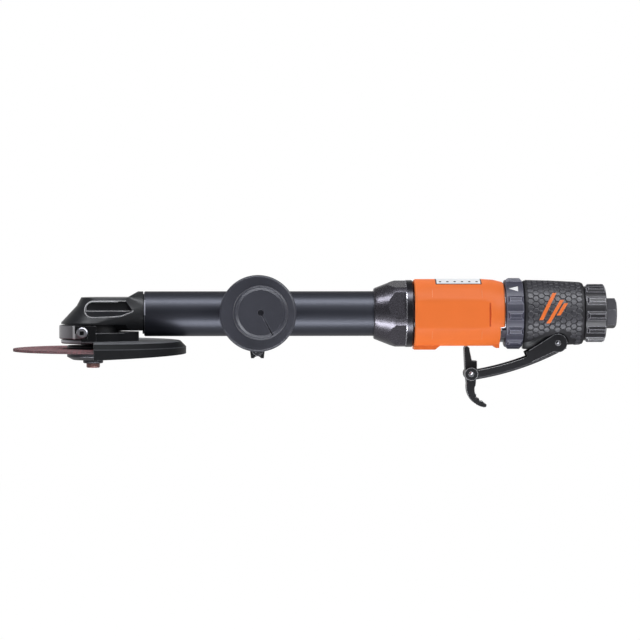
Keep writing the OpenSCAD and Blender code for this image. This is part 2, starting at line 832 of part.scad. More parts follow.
guard_screw_head_h = 2.4;
guard_screw_round = 1.2;
guard_socket_af = 2.5;
module guard_screw() {
    seat = lug_r - lug_over * half_share;
    top = seat + guard_screw_head_h;
    tip = strap_in_r * cos(asin((guard_screw_ahead - guard_screw_r) / strap_in_r)) + gap;
    translate([x_spin + guard_screw_x, 0, z_guard_screw]) rotate([90, 0, 0]) difference() {
        rotate_extrude() polygon(concat([[0, tip], [guard_screw_r, tip], [guard_screw_r, seat],
            [guard_screw_head_r, seat]],
            arc(guard_screw_head_r - guard_screw_round, top - guard_screw_round, guard_screw_round, 0,
            90), [[0, top]]));
        translate([0, 0, top - guard_screw_round])
            cylinder(h = guard_screw_round + cut, d = guard_socket_af / cos(30), $fn = 6);
    }
}

module guard_screws() {
    color("#5a5b60") {
        guard_screw();
        mirror([0, 1, 0]) guard_screw();
    }
}

// Barrel and shaft line

barrel_edge = 0.5;
module barrel_tube() {
    color("#3a3c41") turned_x([[x_head, barrel_in_r], [x_head, barrel_r - barrel_edge],
        [x_head + barrel_edge, barrel_r],
        [x_collar, barrel_r], [x_collar, nose_r], [x_nose, nose_r], [x_nose, case_in_r - fit],
        [x_front_plate, case_in_r - fit], [x_front_plate, barrel_in_r]]);
}

module drive_shaft() {
    color("#a9adb3") union() {
        rod_x(x_shaft0, x_shaft1, journal_r);
        square_x(x_shaft0 - drive_len, x_shaft0, drive_af);
        square_x(x_shaft1, x_shaft1 + drive_len, drive_af);
    }
}

shaft_bearing_w = 7;
shaft_bearing_share = 0.55;
module shaft_bearing() {
    color("#b9bcc2") bearing_x(x_head + barrel_len * shaft_bearing_share, shaft_bearing_w,
        barrel_in_r - fit,
        journal_r + run);
}

coupling_edge = 0.8;
module coupling(x0) {
    color("#8d9096") difference() {
        turned_x([[x0, 0], [x0, coupling_r - coupling_edge], [x0 + coupling_edge, coupling_r],
            [x0 + coupling_len - coupling_edge, coupling_r],
            [x0 + coupling_len, coupling_r - coupling_edge],
            [x0 + coupling_len, 0]]);
        square_x(x0 - cut, x0 + drive_len + fit, drive_af + 2 * run);
        square_x(x0 + coupling_len - drive_len - fit, x0 + coupling_len + cut, drive_af + 2 * run);
    }
}

module front_coupling() {
    coupling(x_front_coupling);
}

module rear_coupling() {
    coupling(x_rear_coupling);
}

nut_flats = 6;
nut_flat_turn = 16.9;
nut_flat_back = 5;
nut_edge = 1;
nut_nose_edge = 0.6;
module lock_nut() {
    x_end = x_motor - gap;
    color("#3d3b40") difference() {
        turned_x([[x_nut, barrel_r + fit], [x_nut, nut_nose_d / 2 - nut_nose_edge],
            [x_nut + nut_nose_edge, nut_nose_d / 2], [x_nut + nut_cone_len, nut_r], [x_end - nut_edge, nut_r],
            [x_end, nut_r - nut_edge], [x_end, nose_r + fit], [x_collar, nose_r + fit],
            [x_collar, barrel_r + fit]]);
        for (i = [0:nut_flats - 1]) {
            rotate([i * 360 / nut_flats - nut_flat_turn, 0, 0]) box([x_nut - cut, -housing_d, -housing_d],
                [x_end - nut_flat_back, nut_flat_cut - nut_r, housing_d]);
        }
    }
}

// Side handle, drawn with its axis along -Y and then tilted

module handle_place() {
    translate([x_handle, 0, 0]) rotate([-handle_angle, 0, 0]) children();
}

// Body turned about the handle axis from an outline of [r, distance from the barrel axis]
module turned_out(outline) {
    rotate([90, 0, 0]) rotate_extrude() polygon(outline);
}

clamp_wall = 4.6;
clamp_r = barrel_r + clamp_wall;
clamp_slit = 1.6;
clamp_boss_r = 10.4;
clamp_reach = 25.6;
clamp_ear_half = 7.4;
clamp_ear_top = 5.1;
clamp_ear_low = 4;
clamp_ear_drop = 28.4;
clamp_notch_r = 2.7;
clamp_notch_sink = 1.4;
clamp_screw_drop = 23.2;
clamp_screw_r = 2;
stud_r = 4;
stud_len = 44;
stud_in = 18.4;
module handle_clamp() {
    color("#2e2f33") handle_place() difference() {
        union() {
            rod_x(-clamp_w / 2, clamp_w / 2, clamp_r);
            turned_out([[0, barrel_r], [clamp_boss_r, barrel_r], [clamp_boss_r, clamp_reach - clamp_slit],
                [clamp_boss_r - clamp_slit, clamp_reach], [0, clamp_reach]]);
            plate_y(-clamp_ear_half, clamp_ear_half) polygon([[-clamp_ear_top,
                -clamp_r + clamp_wall * half_share],
                [-clamp_ear_top, -clamp_r - cut], [-clamp_ear_low, -clamp_ear_drop],
                [clamp_ear_low, -clamp_ear_drop],
                [clamp_ear_top, -clamp_r - cut], [clamp_ear_top, -clamp_r + clamp_wall * half_share]]);
        }
        rod_x(-clamp_w, clamp_w, barrel_r + run);
        box([-clamp_w, -clamp_slit / 2, -clamp_ear_drop - cut],
            [clamp_w, clamp_slit / 2, -barrel_r * half_share]);
        rod_y(0, -clamp_ear_drop - clamp_notch_sink, -clamp_ear_half - cut, clamp_ear_half + cut,
            clamp_notch_r);
        rod_y(0, -clamp_screw_drop, -clamp_ear_half - cut, clamp_ear_half + cut, clamp_screw_r + fit);
        turned_out([[0, 0], [stud_r + fit, 0], [stud_r + fit, clamp_reach + cut],
            [0, clamp_reach + cut]]);
    }
}

clamp_head_r = 3.6;
clamp_head_h = 3.4;
clamp_socket_af = 3;
clamp_nut_h = 3;
module clamp_screw() {
    color("#8d9096") handle_place() difference() {
        union() {
            rod_y(0, -clamp_screw_drop, -clamp_ear_half - clamp_head_h, -clamp_ear_half, clamp_head_r);
            rod_y(0, -clamp_screw_drop, -clamp_ear_half, clamp_ear_half + clamp_nut_h + cut,
                clamp_screw_r);
        }
        translate([0, -clamp_ear_half - clamp_head_h * half_share, -clamp_screw_drop]) rotate([90, 0, 0])
            cylinder(h = clamp_head_h, d = clamp_socket_af / cos(30), $fn = 6);
    }
}

clamp_nut_af = 6.6;
module clamp_nut() {
    color("#8d9096") handle_place() difference() {
        translate([0, clamp_ear_half + clamp_nut_h, -clamp_screw_drop]) rotate([90, 0, 0])
            cylinder(h = clamp_nut_h, d = clamp_nut_af / cos(30), $fn = 6);
        rod_y(0, -clamp_screw_drop, 0, clamp_ear_half + clamp_nut_h + cut, clamp_screw_r + fit);
    }
}

module handle_stud() {
    color("#a9adb3") handle_place()
        turned_out([[0, stud_in], [stud_r, stud_in], [stud_r, stud_in + stud_len],
        [0, stud_in + stud_len]]);
}

handle_flange_t = 5;
handle_flange_round = 1.6;
handle_waist_d = 26;
handle_rim = 1.4;
handle_cone = 1.6;
handle_dimple_r = 1.9;
handle_dimple_d = 1.6;
handle_step_shares = [0.16, 0.42, 0.7, 0.9];
handle_rings = 4;
handle_ring_r = 1.1;
handle_ring_sink = 0.5;
handle_ring_shares = [0.34, 0.14];
handle_mark_w = 0.8;
handle_mark_turn = 62;
handle_mark_sink = 0.2;
module side_handle() {
    r_flange = handle_flange_d / 2;
    r_grip = handle_d / 2;
    r_waist = handle_waist_d / 2;
    d0 = clamp_reach;
    d_flange = d0 + handle_flange_t;
    span = handle_len - handle_flange_t;
    d_end = d0 + handle_len;
    color("#47484e") handle_place() difference() {
        turned_out(concat([[stud_r + fit, d0], [r_flange - handle_flange_round, d0]],
            arc(r_flange - handle_flange_round, d0 + handle_flange_round, handle_flange_round, -90, 0),
            arc(r_flange - handle_flange_round, d_flange - handle_flange_round, handle_flange_round, 0,
            90),
            [[r_waist + handle_rim, d_flange], [r_waist, d_flange + handle_rim],
                [r_waist, d_flange + span * handle_step_shares[0]],
                [r_grip - handle_rim, d_flange + span * handle_step_shares[1]],
                [r_grip, d_flange + span * handle_step_shares[2]]],
            arc(r_grip - handle_rim, d_end - handle_rim, handle_rim, 0, 90),
            [[r_grip - 2 * handle_rim, d_end - handle_cone * half_share],
            [handle_dimple_r, d_end - handle_cone],
                [handle_dimple_r, d_end - handle_cone - handle_dimple_d],
                [0, d_end - handle_cone - handle_dimple_d],
                [0, stud_in + stud_len + cut], [stud_r + fit, stud_in + stud_len + cut]]));
        for (i = [0:handle_rings - 1]) {
            translate([0, -d_flange - span * (handle_ring_shares[0] + i * handle_ring_shares[1]), 0])
                rotate([90, 0, 0])
                rotate_extrude() translate([r_grip + handle_ring_sink, 0]) circle(r = handle_ring_r);
        }
        rotate([0, handle_mark_turn, 0]) box([0, -d_end - cut, -handle_mark_w / 2],
            [r_grip - handle_rim, handle_cone + handle_mark_sink - d_end, handle_mark_w / 2]);
    }
}

// Vane motor

module motor_case() {
    color("#9b9ea4") turned_x([[x_nose, case_in_r], [x_nose, nose_r], [x_motor, nose_r],
        [x_motor, case_r],
        [x_ring, case_r], [x_ring, case_in_r]]);
}

housing_edge = 0.8;
taper_len = 14;
taper_drop = 1.9;
side_cut = 1.6;
side_end = 8.4;
bevel_turn = 23.5;
bevel_cut = 0.14;
panel_turn = 38;
panel_cut = 0.35;
panel_front = 11;
panel_back = 15;
under_cut = 1.6;
under_drop = housing_r - under_cut;
under_back = 6.9;
under_ramp = 3;
// How many times over the ramps of the cut run on
under_runs = 3;
foot_over = 0.8;
foot_drop = housing_r + foot_over;
foot_half = 9;
foot_len = 13.4;
toe_under = 0.2;
toe_drop = housing_r - toe_under;
toe_front = 5.4;
toe_back = 3.3;
slot_half = 5.6;
slot_front = 30;
slot_back = 48;
notch_len = 3.1;
notch_a0 = 24;
notch_a1 = 158;

// Side panel cut of the motor housing with a ramp at its rear end
module housing_side() {
    y_side = housing_r - side_cut;
    x_side = x_ring - side_end;
    translate([0, 0, -housing_d]) linear_extrude(height = 2 * housing_d)
        polygon([[x_motor - cut, -y_side], [x_side - side_cut, -y_side], [x_side, -housing_r - weld],
            [x_side, -housing_d], [x_motor - cut, -housing_d]]);
}

// Plane cut along the housing whose face looks out at an angle above the side
module housing_plane(turn, depth, x0, x1) {
    rotate([-turn, 0, 0]) box([x0, -housing_d, -housing_d], [x1, depth - housing_r, housing_d]);
}

module motor_housing() {
    r = housing_r;
    x_under = x_motor + foot_len + under_ramp;
    x_toe = x_ring - under_back;
    color("#f07e45") difference() {
        union() {
            difference() {
                turned_x([[x_motor, case_r + fit], [x_motor, r - housing_edge],
                    [x_motor + housing_edge, r],
                    [x_ring - taper_len, r], [x_ring - taper_len * half_share,
                    r - taper_drop * half_share * half_share],
                    [x_ring - gap - housing_edge, r - taper_drop],
                    [x_ring - gap, r - taper_drop - housing_edge],
                    [x_ring - gap, case_r + fit]]);
                for (m = [0, 1]) mirror([0, m, 0]) {
                    housing_side();
                    housing_plane(bevel_turn, bevel_cut, x_motor - cut, x_ring - side_end);
                    housing_plane(-bevel_turn, bevel_cut, x_motor - cut, x_ring - side_end);
                    housing_plane(panel_turn, panel_cut, x_motor + panel_front, x_ring - panel_back);
                    housing_plane(-panel_turn, panel_cut, x_motor + panel_front, x_ring - panel_back);
                }
            }
            box([x_motor, -foot_half, -foot_drop], [x_under + weld, foot_half, -case_r - weld]);
            box([x_toe - weld, -foot_half, -toe_drop], [x_ring - toe_back, foot_half, -case_r - weld]);
        }
        plate_y(-housing_d, housing_d) polygon([[x_under, -under_drop], [x_toe, -under_drop],
            [x_toe + under_runs * (under_back - toe_front), -under_drop - under_runs * (toe_drop - under_drop)],
            [x_under - under_runs * under_ramp, -under_drop - under_runs * (foot_drop - under_drop)]]);
        rod_x(x_motor - cut, x_ring + cut, case_r + fit);
        box([x_motor + slot_front, -slot_half, -housing_d], [x_motor + slot_back, slot_half, 0]);
        translate([x_ring - notch_len, 0, 0]) rotate([notch_a0, 0, 0]) rotate([0, 90, 0])
            rotate([0, 0, -90])
            rotate_extrude(angle = notch_a1 - notch_a0) translate([case_r - cut, 0])
            square([housing_d, notch_len + cut]);
    }
}

liner_ports = 5;
liner_port_r = 1.5;
liner_port_shares = [0.18, 0.16];
pin_r = 1.2;
pin_len = 9;
bore_r = rotor_r + rotor_offset + gap;
z_liner_pin = case_in_r - fit - (case_in_r + rotor_offset - bore_r) * half_share;
module cylinder_liner() {
    color("#8d9096") difference() {
        rod_x(x_liner, x_rear_plate, case_in_r - fit);
        translate([0, 0, -rotor_offset]) rod_x(x_liner - cut, x_rear_plate + cut, bore_r);
        for (i = [0:liner_ports - 1]) {
            rod_y(x_liner + liner_len * (liner_port_shares[0] + i * liner_port_shares[1]), 0, -case_r, 0,
                liner_port_r);
        }
        translate([0, 0, z_liner_pin]) rod_x(x_rear_plate - pin_len, x_rear_plate + cut, pin_r + fit);
    }
}

// End plate with a bearing pocket that opens away from the rotor
module end_plate(x0, open_front) {
    x1 = x0 + plate_len;
    difference() {
        rod_x(x0, x1, case_in_r - fit);
        rod_x(x0 - cut, x1 + cut, journal_r + gap);
        if (open_front) {
            rod_x(x0 - cut, x0 + rotor_bearing_w, rotor_bearing_r + fit);
        } else {
            rod_x(x1 - rotor_bearing_w, x1 + cut, rotor_bearing_r + fit);
        }
    }
}

module front_end_plate() {
    color("#a7a9ae") end_plate(x_front_plate, true);
}

module rear_end_plate() {
    color("#a7a9ae") difference() {
        end_plate(x_rear_plate, false);
        translate([0, 0, z_liner_pin]) rod_x(x_rear_plate - cut, x_rear_plate + pin_len * half_share,
            pin_r + fit);
    }
}

slot_t = 1.8;
slot_share = 0.537;
slot_depth = rotor_r * slot_share;
vane_fit = 0.05;
module rotor() {
    r = rotor_r;
    color("#a9adb3") union() {
        difference() {
            rod_x(x_liner + end_gap, x_rear_plate - end_gap, r);
            for (i = [0:vane_count - 1]) {
                rotate([i * 360 / vane_count, 0, 0])
                    box([x_liner, -slot_t / 2, r - slot_depth], [x_rear_plate, slot_t / 2, r + cut]);
            }
        }
        rod_x(x_rotor_drive, x_rear_plate + plate_len - end_gap, journal_r);
        square_x(x_rotor_drive - drive_len, x_rotor_drive, drive_af);
    }
}

module rotor_vanes() {
    r = rotor_r;
    color("#7a5a3c") for (i = [0:vane_count - 1]) {
        rotate([i * 360 / vane_count, 0, 0])
            box([x_liner + end_gap, -slot_t / 2 + vane_fit, r - slot_depth + vane_fit],
                [x_rear_plate - end_gap, slot_t / 2 - vane_fit, r]);
    }
}

module front_rotor_bearing() {
    color("#b9bcc2") bearing_x(x_front_plate, rotor_bearing_w, rotor_bearing_r, journal_r + run);
}

module rear_rotor_bearing() {
    color("#b9bcc2") bearing_x(x_rear_plate + plate_len - rotor_bearing_w, rotor_bearing_w,
        rotor_bearing_r,
        journal_r + run);
}

module liner_pin() {
    color("#a9adb3") translate([0, 0, z_liner_pin])
        rod_x(x_rear_plate - pin_len * half_share, x_rear_plate + pin_len * half_share - gap, pin_r);
}

// Handle body, grip and air inlet

// Room for the lever ears and the lever beside the lug, seen from the side
module ear_pocket_outline(grow) {
    translate([x_pin, z_pin]) circle(r = pocket_r + grow);
    polygon([[x_valve - boss_front, z_boss - ear_r], [x_valve - boss_front, z_pin + grow],
        [x_pin, z_pin + pocket_r + grow], [x_pin + pocket_r + grow, z_pin],
        [x_pin + pocket_r + grow, z_boss - ear_r]]);
}

spigot_d = 14;
spigot_len = 10;
air_r = 4;
feed_r = 2.6;
exhaust_r = 2.4;
exhaust_wall = 3.1;
exhaust_at = case_in_r - exhaust_wall;
exhaust_angles = [-42, -14, 14, 42];
lug_below = 2.9;
lug_rear_below = 1.2;
lug_front = 4.6;
lug_back = 4.2;
module handle_body() {
    color("#2f3034") difference() {
        union() {
            turned_x([[x_seat, 0], [x_seat, case_in_r - fit], [x_ring, case_in_r - fit], [x_ring, core_r],
                [x_def, core_r], [x_def, 0]]);
            box([x_valve - boss_front, -lug_half, z_boss], [x_valve + boss_back, lug_half, -valve_r]);
            plate_y(-lug_half, lug_half) polygon([[x_valve, z_boss], [x_pin - lug_front, z_boss],
                [x_pin, z_pin - lug_below],
                [x_pin + lug_back, z_pin - lug_rear_below], [x_pin + pocket_r, -core_r * half_share],
                [x_valve, -core_r * half_share]]);
        }
        for (m = [0, 1]) mirror([0, m, 0]) plate_y(-core_d, -lug_half) ear_pocket_outline(0);
        rod_x(x_def - spigot_len - fit, x_def + cut, spigot_d / 2 + fit);
        rod_x(x_valve, x_def, air_r);
        rod_z(x_valve, z_boss - cut, valve_top, valve_r);
        translate([0, 0, z_feed]) rod_x(x_seat - cut, x_valve, feed_r);
        for (a = exhaust_angles) {
            rotate([a, 0, 0]) translate([0, 0, exhaust_at]) rod_x(x_seat - cut, x_def + cut, exhaust_r);
        }
        rod_y(x_pin, z_pin, -core_r, core_r, lever_pin_r + fit);
    }
}

grip_round = 1.4;
grip_mid_share = 0.45;
grip_swell = 0.3;
window_gap = 0.25;
module grip_sleeve() {
    x0 = x_grip + gap;
    r0 = grip_front_d / 2;
    r1 = grip_rear_d / 2;
    x_mid = x0 + grip_len * grip_mid_share;
    color("#2b2b2e") difference() {
        turned_x(concat([[x0, core_r + fit]], arc(x0 + grip_round, r0 - grip_round, grip_round, 180, 90),
            [[x_mid, (r0 + r1) / 2 + grip_swell]], arc(x_def - grip_round, r1 - grip_round, grip_round,
            90, 0),
            [[x_def, core_r + fit]]));
        plate_y(-core_d, core_d) ear_pocket_outline(window_gap);
        box([x_grip - cut, -lug_half - window_gap, -core_d],
            [x_pin, lug_half + window_gap, -core_r * half_share]);
    }
}

// Rib along X on a grip ring: at the top of the ring, on its floor radius, with sloped flanks and ends
rib_h = 1.3;
rib_run = 1.5;
module ring_rib(x0, x1, r, half_w, half_top, run_end) {
    z0 = r - rib_h - weld;
    h = rib_h + weld;
    over_share = (h + weld) / h;
    intersection() {
        translate([x0 - cut, 0, 0]) rotate([90, 0, 90]) linear_extrude(height = x1 - x0 + 2 * cut)
            polygon([[-half_w, z0], [half_w, z0], [half_top, r], [-half_top, r]]);
        plate_y(-half_w - cut, half_w + cut) polygon([[x0 - rib_run * (over_share - 1), z0 - weld],
            [x1 + run_end * (over_share - 1), z0 - weld], [x1 - run_end * over_share, r + weld],
            [x0 + rib_run * over_share, r + weld]]);
    }
}

ring_round = 2;
ring_floor_round = 0.7;
ring_rib_turn = -2.2;
ring_rib_half = 3.1;
ring_rib_top_half = 1.3;
ring_collar = 0.8;
ring_rear_collar = 0.2;
// Angles above the near side between which the ring stays plain for its pointer
ring_plain_span = [40, 66];
tab_len = 2.4;
tab_a0 = 30;
tab_a1 = 46;
tab_low = 0.6;
module regulator_ring() {
    r = ring_r;
    x0 = x_ring + gap;
    color("#62636e") union() {
        turned_x(concat([[x0, core_r + run]],
            arc(x0 + ring_floor_round, r - rib_h - ring_floor_round, ring_floor_round, 180, 90),
            arc(x_grip - ring_floor_round, r - rib_h - ring_floor_round, ring_floor_round, 90, 0),
            [[x_grip, core_r + run]]));
        for (i = [0:ring_ribs - 1]) let (a = ring_rib_turn + i * 360 / ring_ribs) {
            if (a < ring_plain_span[0] || a > ring_plain_span[1]) {
                rotate([90 - a, 0, 0]) ring_rib(x0 + ring_collar, x_grip - ring_rear_collar, r, ring_rib_half,
                    ring_rib_top_half, rib_run);
            }
        }
        translate([x_ring - tab_len, 0, 0]) rotate([tab_a0, 0, 0]) rotate([0, 90, 0]) rotate([0, 0, -90])
            rotate_extrude(angle = tab_a1 - tab_a0) translate([case_r + tab_low, 0])
                square([r - ring_round - gap - case_r - tab_low, tab_len + ring_round]);
    }
}

deflector_rib_turn = -3.5;
deflector_rib_half = 2.9;
deflector_rib_top_half = 1.3;
deflector_collar = 1.2;
deflector_rib_end = 0.9;
deflector_rear_collar = 0.1;
deflector_round = 0.8;
hub_wall = 2;
hub_r = inlet_journal_d / 2 + hub_wall;
cup_floor = 3;
vent_count = 9;
vent_r = 1.5;
vent_span = 200;
module exhaust_deflector() {
    r = deflector_d / 2;
    x0 = x_def + gap;
    x1 = x_hex - fit;
    cup_r = r - deflector_wall;
    vent_at = (cup_r + hub_r) / 2;
    floor_r = r - rib_h;
    color("#3d3b43") difference() {
        union() {
            turned_x(concat([[x0, cup_r]],
                arc(x0 + deflector_round, floor_r - deflector_round, deflector_round, 180, 90),
                arc(x1 - deflector_round, floor_r - deflector_round, deflector_round, 90, 0),
                [[x1, inlet_journal_d / 2 + run], [x0, inlet_journal_d / 2 + run], [x0, hub_r],
                [x1 - cup_floor, hub_r], [x1 - cup_floor, cup_r]]));
            for (i = [0:deflector_ribs - 1]) {
                rotate([90 - deflector_rib_turn - i * 360 / deflector_ribs, 0, 0])
                    ring_rib(x0 + deflector_collar, x1 - deflector_rear_collar, r, deflector_rib_half,
                        deflector_rib_top_half, deflector_rib_end);
            }
        }
        for (i = [0:vent_count - 1]) {
            rotate([-vent_span / 2 + i * vent_span / (vent_count - 1), 0, 0]) translate([0, 0, vent_at])
                rod_x(x1 - cup_floor - cut, x1 + cut, vent_r);
        }
    }
}

muffler_room = 3;
module muffler() {
    color("#8a8782") tube_x(x_def + muffler_room, x_hex - fit - cup_floor,
        deflector_d / 2 - deflector_wall - fit,
        hub_r + fit);
}

hex_turn = 15.6;
hex_edge = 1.3;
screen_r = 5;
screen_t = 1;
module inlet_bushing() {
    hex_r = inlet_hex_af / cos(30) / 2;
    hex_in = inlet_hex_af / 2 - hex_edge * half_share;
    color("#3d3c41") difference() {
        union() {
            intersection() {
                rotate([hex_turn, 0, 0]) translate([x_hex, 0, 0]) rotate([0, 90, 0])
                    cylinder(h = inlet_hex_len, r = hex_r, $fn = 6);
                turned_x([[x_hex - cut, 0], [x_hex - cut, hex_r + cut], [-hex_edge, hex_r + weld], [0, hex_in],
                    [0, 0]]);
            }
            rod_x(x_def, x_hex, inlet_journal_d / 2);
            rod_x(x_def - spigot_len, x_def, spigot_d / 2);
        }
        rod_x(-inlet_bore_len, cut, inlet_bore_d / 2);
        rod_x(-inlet_bore_len - screen_t, 0, screen_r + fit);
        rod_x(x_def - spigot_len - cut, 0, air_r);
    }
}

screen_holes = 8;
screen_hole_r = 0.9;
screen_ring_share = 0.54;
module inlet_screen() {
    color("#c9a55c") difference() {
        rod_x(-inlet_bore_len - screen_t, -inlet_bore_len, screen_r);
        rod_x(-inlet_bore_len - screen_t - cut, 0, screen_hole_r);
        for (i = [0:screen_holes - 1]) {
            rotate([i * 360 / screen_holes, 0, 0]) translate([0, 0, screen_r * screen_ring_share])
                rod_x(-inlet_bore_len - screen_t - cut, 0, screen_hole_r);
        }
    }
}

// Throttle lever, lock-off lever and valve

lever_edge = 1.6;
ear_back_a = 130;
lever_window_a = 2;
cheek_step = 0.15;

// Section of [distance from the bow centre, y] swept along the bow
module bow_sweep(a0, a1) {
    translate([x_bow, 0, z_bow]) rotate([90, 0, 0]) rotate([0, 0, a0 - 90])
        rotate_extrude(angle = a1 - a0) children();
}

module lever_channel_section() {
    r = lever_bow_r;
    in_y = lever_gap_w / 2;
    polygon(concat([[r - lever_wall_h, -lever_half]], arc(r - lever_edge, lever_edge - lever_half,
        lever_edge, -90, 0),
        arc(r - lever_edge, lever_half - lever_edge, lever_edge, 0, 90),
        [[r - lever_wall_h, lever_half], [r - lever_wall_h, in_y], [r - lever_t, in_y],
        [r - lever_t, -in_y],
            [r - lever_wall_h, -in_y]]));
}

// Plate of a cheek, a little proud of the side wall
module cheek_plate() {
    plate_y(-lever_half - cheek_step, -lever_gap_w / 2 - cheek_step) children();
}

module lever_cheek() {
    cheek_plate() translate([x_lock, z_lock]) circle(r = eye_r);
    cheek_plate() translate([x_pin, z_pin]) circle(r = ear_r);
    cheek_plate() polygon([bow(lever_ear_a, lever_edge), bow(lever_rear_a, lever_edge), [x_pin + ear_r, z_pin],
        [x_pin + ear_r * cos(ear_back_a), z_pin + ear_r * sin(ear_back_a)], bow(lever_ear_a, ear_front_h)]);
}

// Window in the web for the lock lever
module lever_window_section() {
    half = lever_gap_w / 2 + weld;
    polygon([[lever_bow_r - lever_t - weld, -half], [lever_bow_r + cut, -half], [lever_bow_r + cut, half],
        [lever_bow_r - lever_t - weld, half]]);
}

module throttle_lever() {
    color("#323236") difference() {
        union() {
            bow_sweep(lever_front_a, lever_rear_a) lever_channel_section();
            lever_cheek();
            mirror([0, 1, 0]) lever_cheek();
        }
        bow_sweep(lever_front_a - lever_window_a, lever_web_a) lever_window_section();
        rod_y(x_pin, z_pin, -lever_half - cut, lever_half + cut, lever_pin_r + run);
        rod_y(x_lock, z_lock, -lever_half - cut, lever_half + cut, lock_pin_r + fit);
    }
}

module lever_pin() {
    color("#77787d") rod_y(x_pin, z_pin, -lever_half - cheek_step, lever_half + cheek_step, lever_pin_r);
}

lock_boss_r = 3.9;
lock_tip_r = 1.75;
lock_room = 0.4;
lock_lean = 2.5;
lock_rise = -under_drop - lock_room - lock_tip_r - z_lock;
lock_w = 4.2;
// Corners of the arm as shares of its width and of its rise
lock_arm_shares = [[-0.57, -0.5], [-0.83, 0], [-1, 0.98], [-0.19, 0.98], [0.17, 0.53], [0.95, 0.52],
    [0.95, 0.15], [0.9, 0], [0.74, -0.5]];
tab_back = 10.6;
tab_drop = 8.2;
tab_r = 13.4;
tab_root_r = 7.6;
tab_thin_r = 10.4;
tab_span = [168, 262];
tab_n = 20;
tab_teeth = 5;
tab_bite = 0.45;
tab_tip_r = 1.3;
tab_sink = 0.05;
tab_end = tab_r - tab_tip_r - tab_sink;

// One flat outline of the lock lever about its pivot, drawn to its width
module lock_plate() {
    plate_y(-lock_half, lock_half) translate([x_lock, z_lock]) children();
}

module lock_lever() {
    wave = function (i) i < tab_n / 2 ? 0 : tab_bite * cos(360 * tab_teeth * i / tab_n);
    color("#2f2f33") difference() {
        union() {
            lock_plate() circle(r = lock_boss_r);
            lock_plate() polygon([for (p = lock_arm_shares) [p[0] * lock_w, p[1] * lock_rise]]);
            lock_plate() translate([-lock_lean, lock_rise]) circle(r = lock_tip_r);
            lock_plate() polygon(concat(arc(tab_back, -tab_drop, tab_r, tab_span[0], tab_span[1], tab_n),
                [for (i = [tab_n:-1:0]) let (a = tab_span[0] + (tab_span[1] - tab_span[0]) * i / tab_n,
                    q = tab_root_r + (tab_thin_r - tab_root_r) * i / tab_n + wave(i))
                    [tab_back + q * cos(a), q * sin(a) - tab_drop]]));
            lock_plate() translate([tab_back + tab_end * cos(tab_span[1]),
                tab_end * sin(tab_span[1]) - tab_drop]) circle(r = tab_tip_r);
        }
        rod_y(x_lock, z_lock, -lock_half - cut, lock_half + cut, lock_pin_r + run);
    }
}

module lock_pin() {
    color("#8d8e93") rod_y(x_lock, z_lock, -lever_half - cheek_step, lever_half + cheek_step, lock_pin_r);
}

lock_spring_wire_r = 0.25;
lock_spring_r = 2.3;
lock_spring_turns = 2;
lock_spring_room = 0.25;
module lock_spring() {
    y0 = lock_half + lock_spring_room + lock_spring_wire_r;
    y1 = lever_gap_w / 2 - lock_spring_room - lock_spring_wire_r;
    path = coil_path(lock_spring_r, lock_spring_turns, y0, y1);
    echo(lock_spring_gap = coil_gap(path, lock_spring_wire_r));
    color("#a9adb3") translate([x_lock, 0, z_lock]) rotate([-90, 0, 0])
        coil(lock_spring_r, lock_spring_wire_r, lock_spring_turns, y0, y1);
}

stem_nub_r = 1.5;
stem_nub_h = 1.6;
module valve_stem() {
    color("#a9adb3") turned_z(x_valve, concat(arc(0, z_dome, stem_r, -90, 0), [[stem_r, z_seat + gap],
        [valve_head_r, z_seat + gap], [valve_head_r, z_seat + gap + valve_head_t],
        [stem_nub_r, z_seat + gap + valve_head_t],
        [stem_nub_r, z_seat + gap + valve_head_t + stem_nub_h],
        [0, z_seat + gap + valve_head_t + stem_nub_h]]));
}

bushing_sink = 0.8;
bushing_waist_r = 2.9;
seal_r = 0.62;
seal_gap = 0.05;
z_bushing = z_boss + bushing_sink;
z_seal = z_bushing + 3 * seal_r;
module valve_bushing() {
    r = valve_r - fit;
    groove_r = r - 2 * seal_r - seal_gap;
    color("#c9a55c") turned_z(x_valve, [[stem_r + run, z_bushing], [r, z_bushing],
        [r, z_seal - seal_r - seal_gap],
        [groove_r, z_seal - seal_r - seal_gap], [groove_r, z_seal + seal_r + seal_gap],
        [r, z_seal + seal_r + seal_gap],
        [r, z_seat - bushing_land - bushing_waist], [bushing_waist_r,
        z_seat - bushing_land - bushing_waist],
        [bushing_waist_r, z_seat - bushing_land], [r, z_seat - bushing_land], [r, z_seat],
        [stem_r + run, z_seat]]);
}

module valve_seal() {
    color("#1c1c1e") translate([x_valve, 0, z_seal]) rotate_extrude()
        translate([valve_r - fit - seal_r, 0]) circle(r = seal_r);
}

module valve_spring() {
    z0 = z_seat + gap + valve_head_t + spring_wire_r + fit;
    z1 = valve_top - spring_wire_r - fit;
    echo(valve_spring_gap = coil_gap(coil_path(spring_r, spring_turns, z0, z1), spring_wire_r));
    color("#a9adb3") translate([x_valve, 0, 0]) coil(spring_r, spring_wire_r, spring_turns, z0, z1);
}

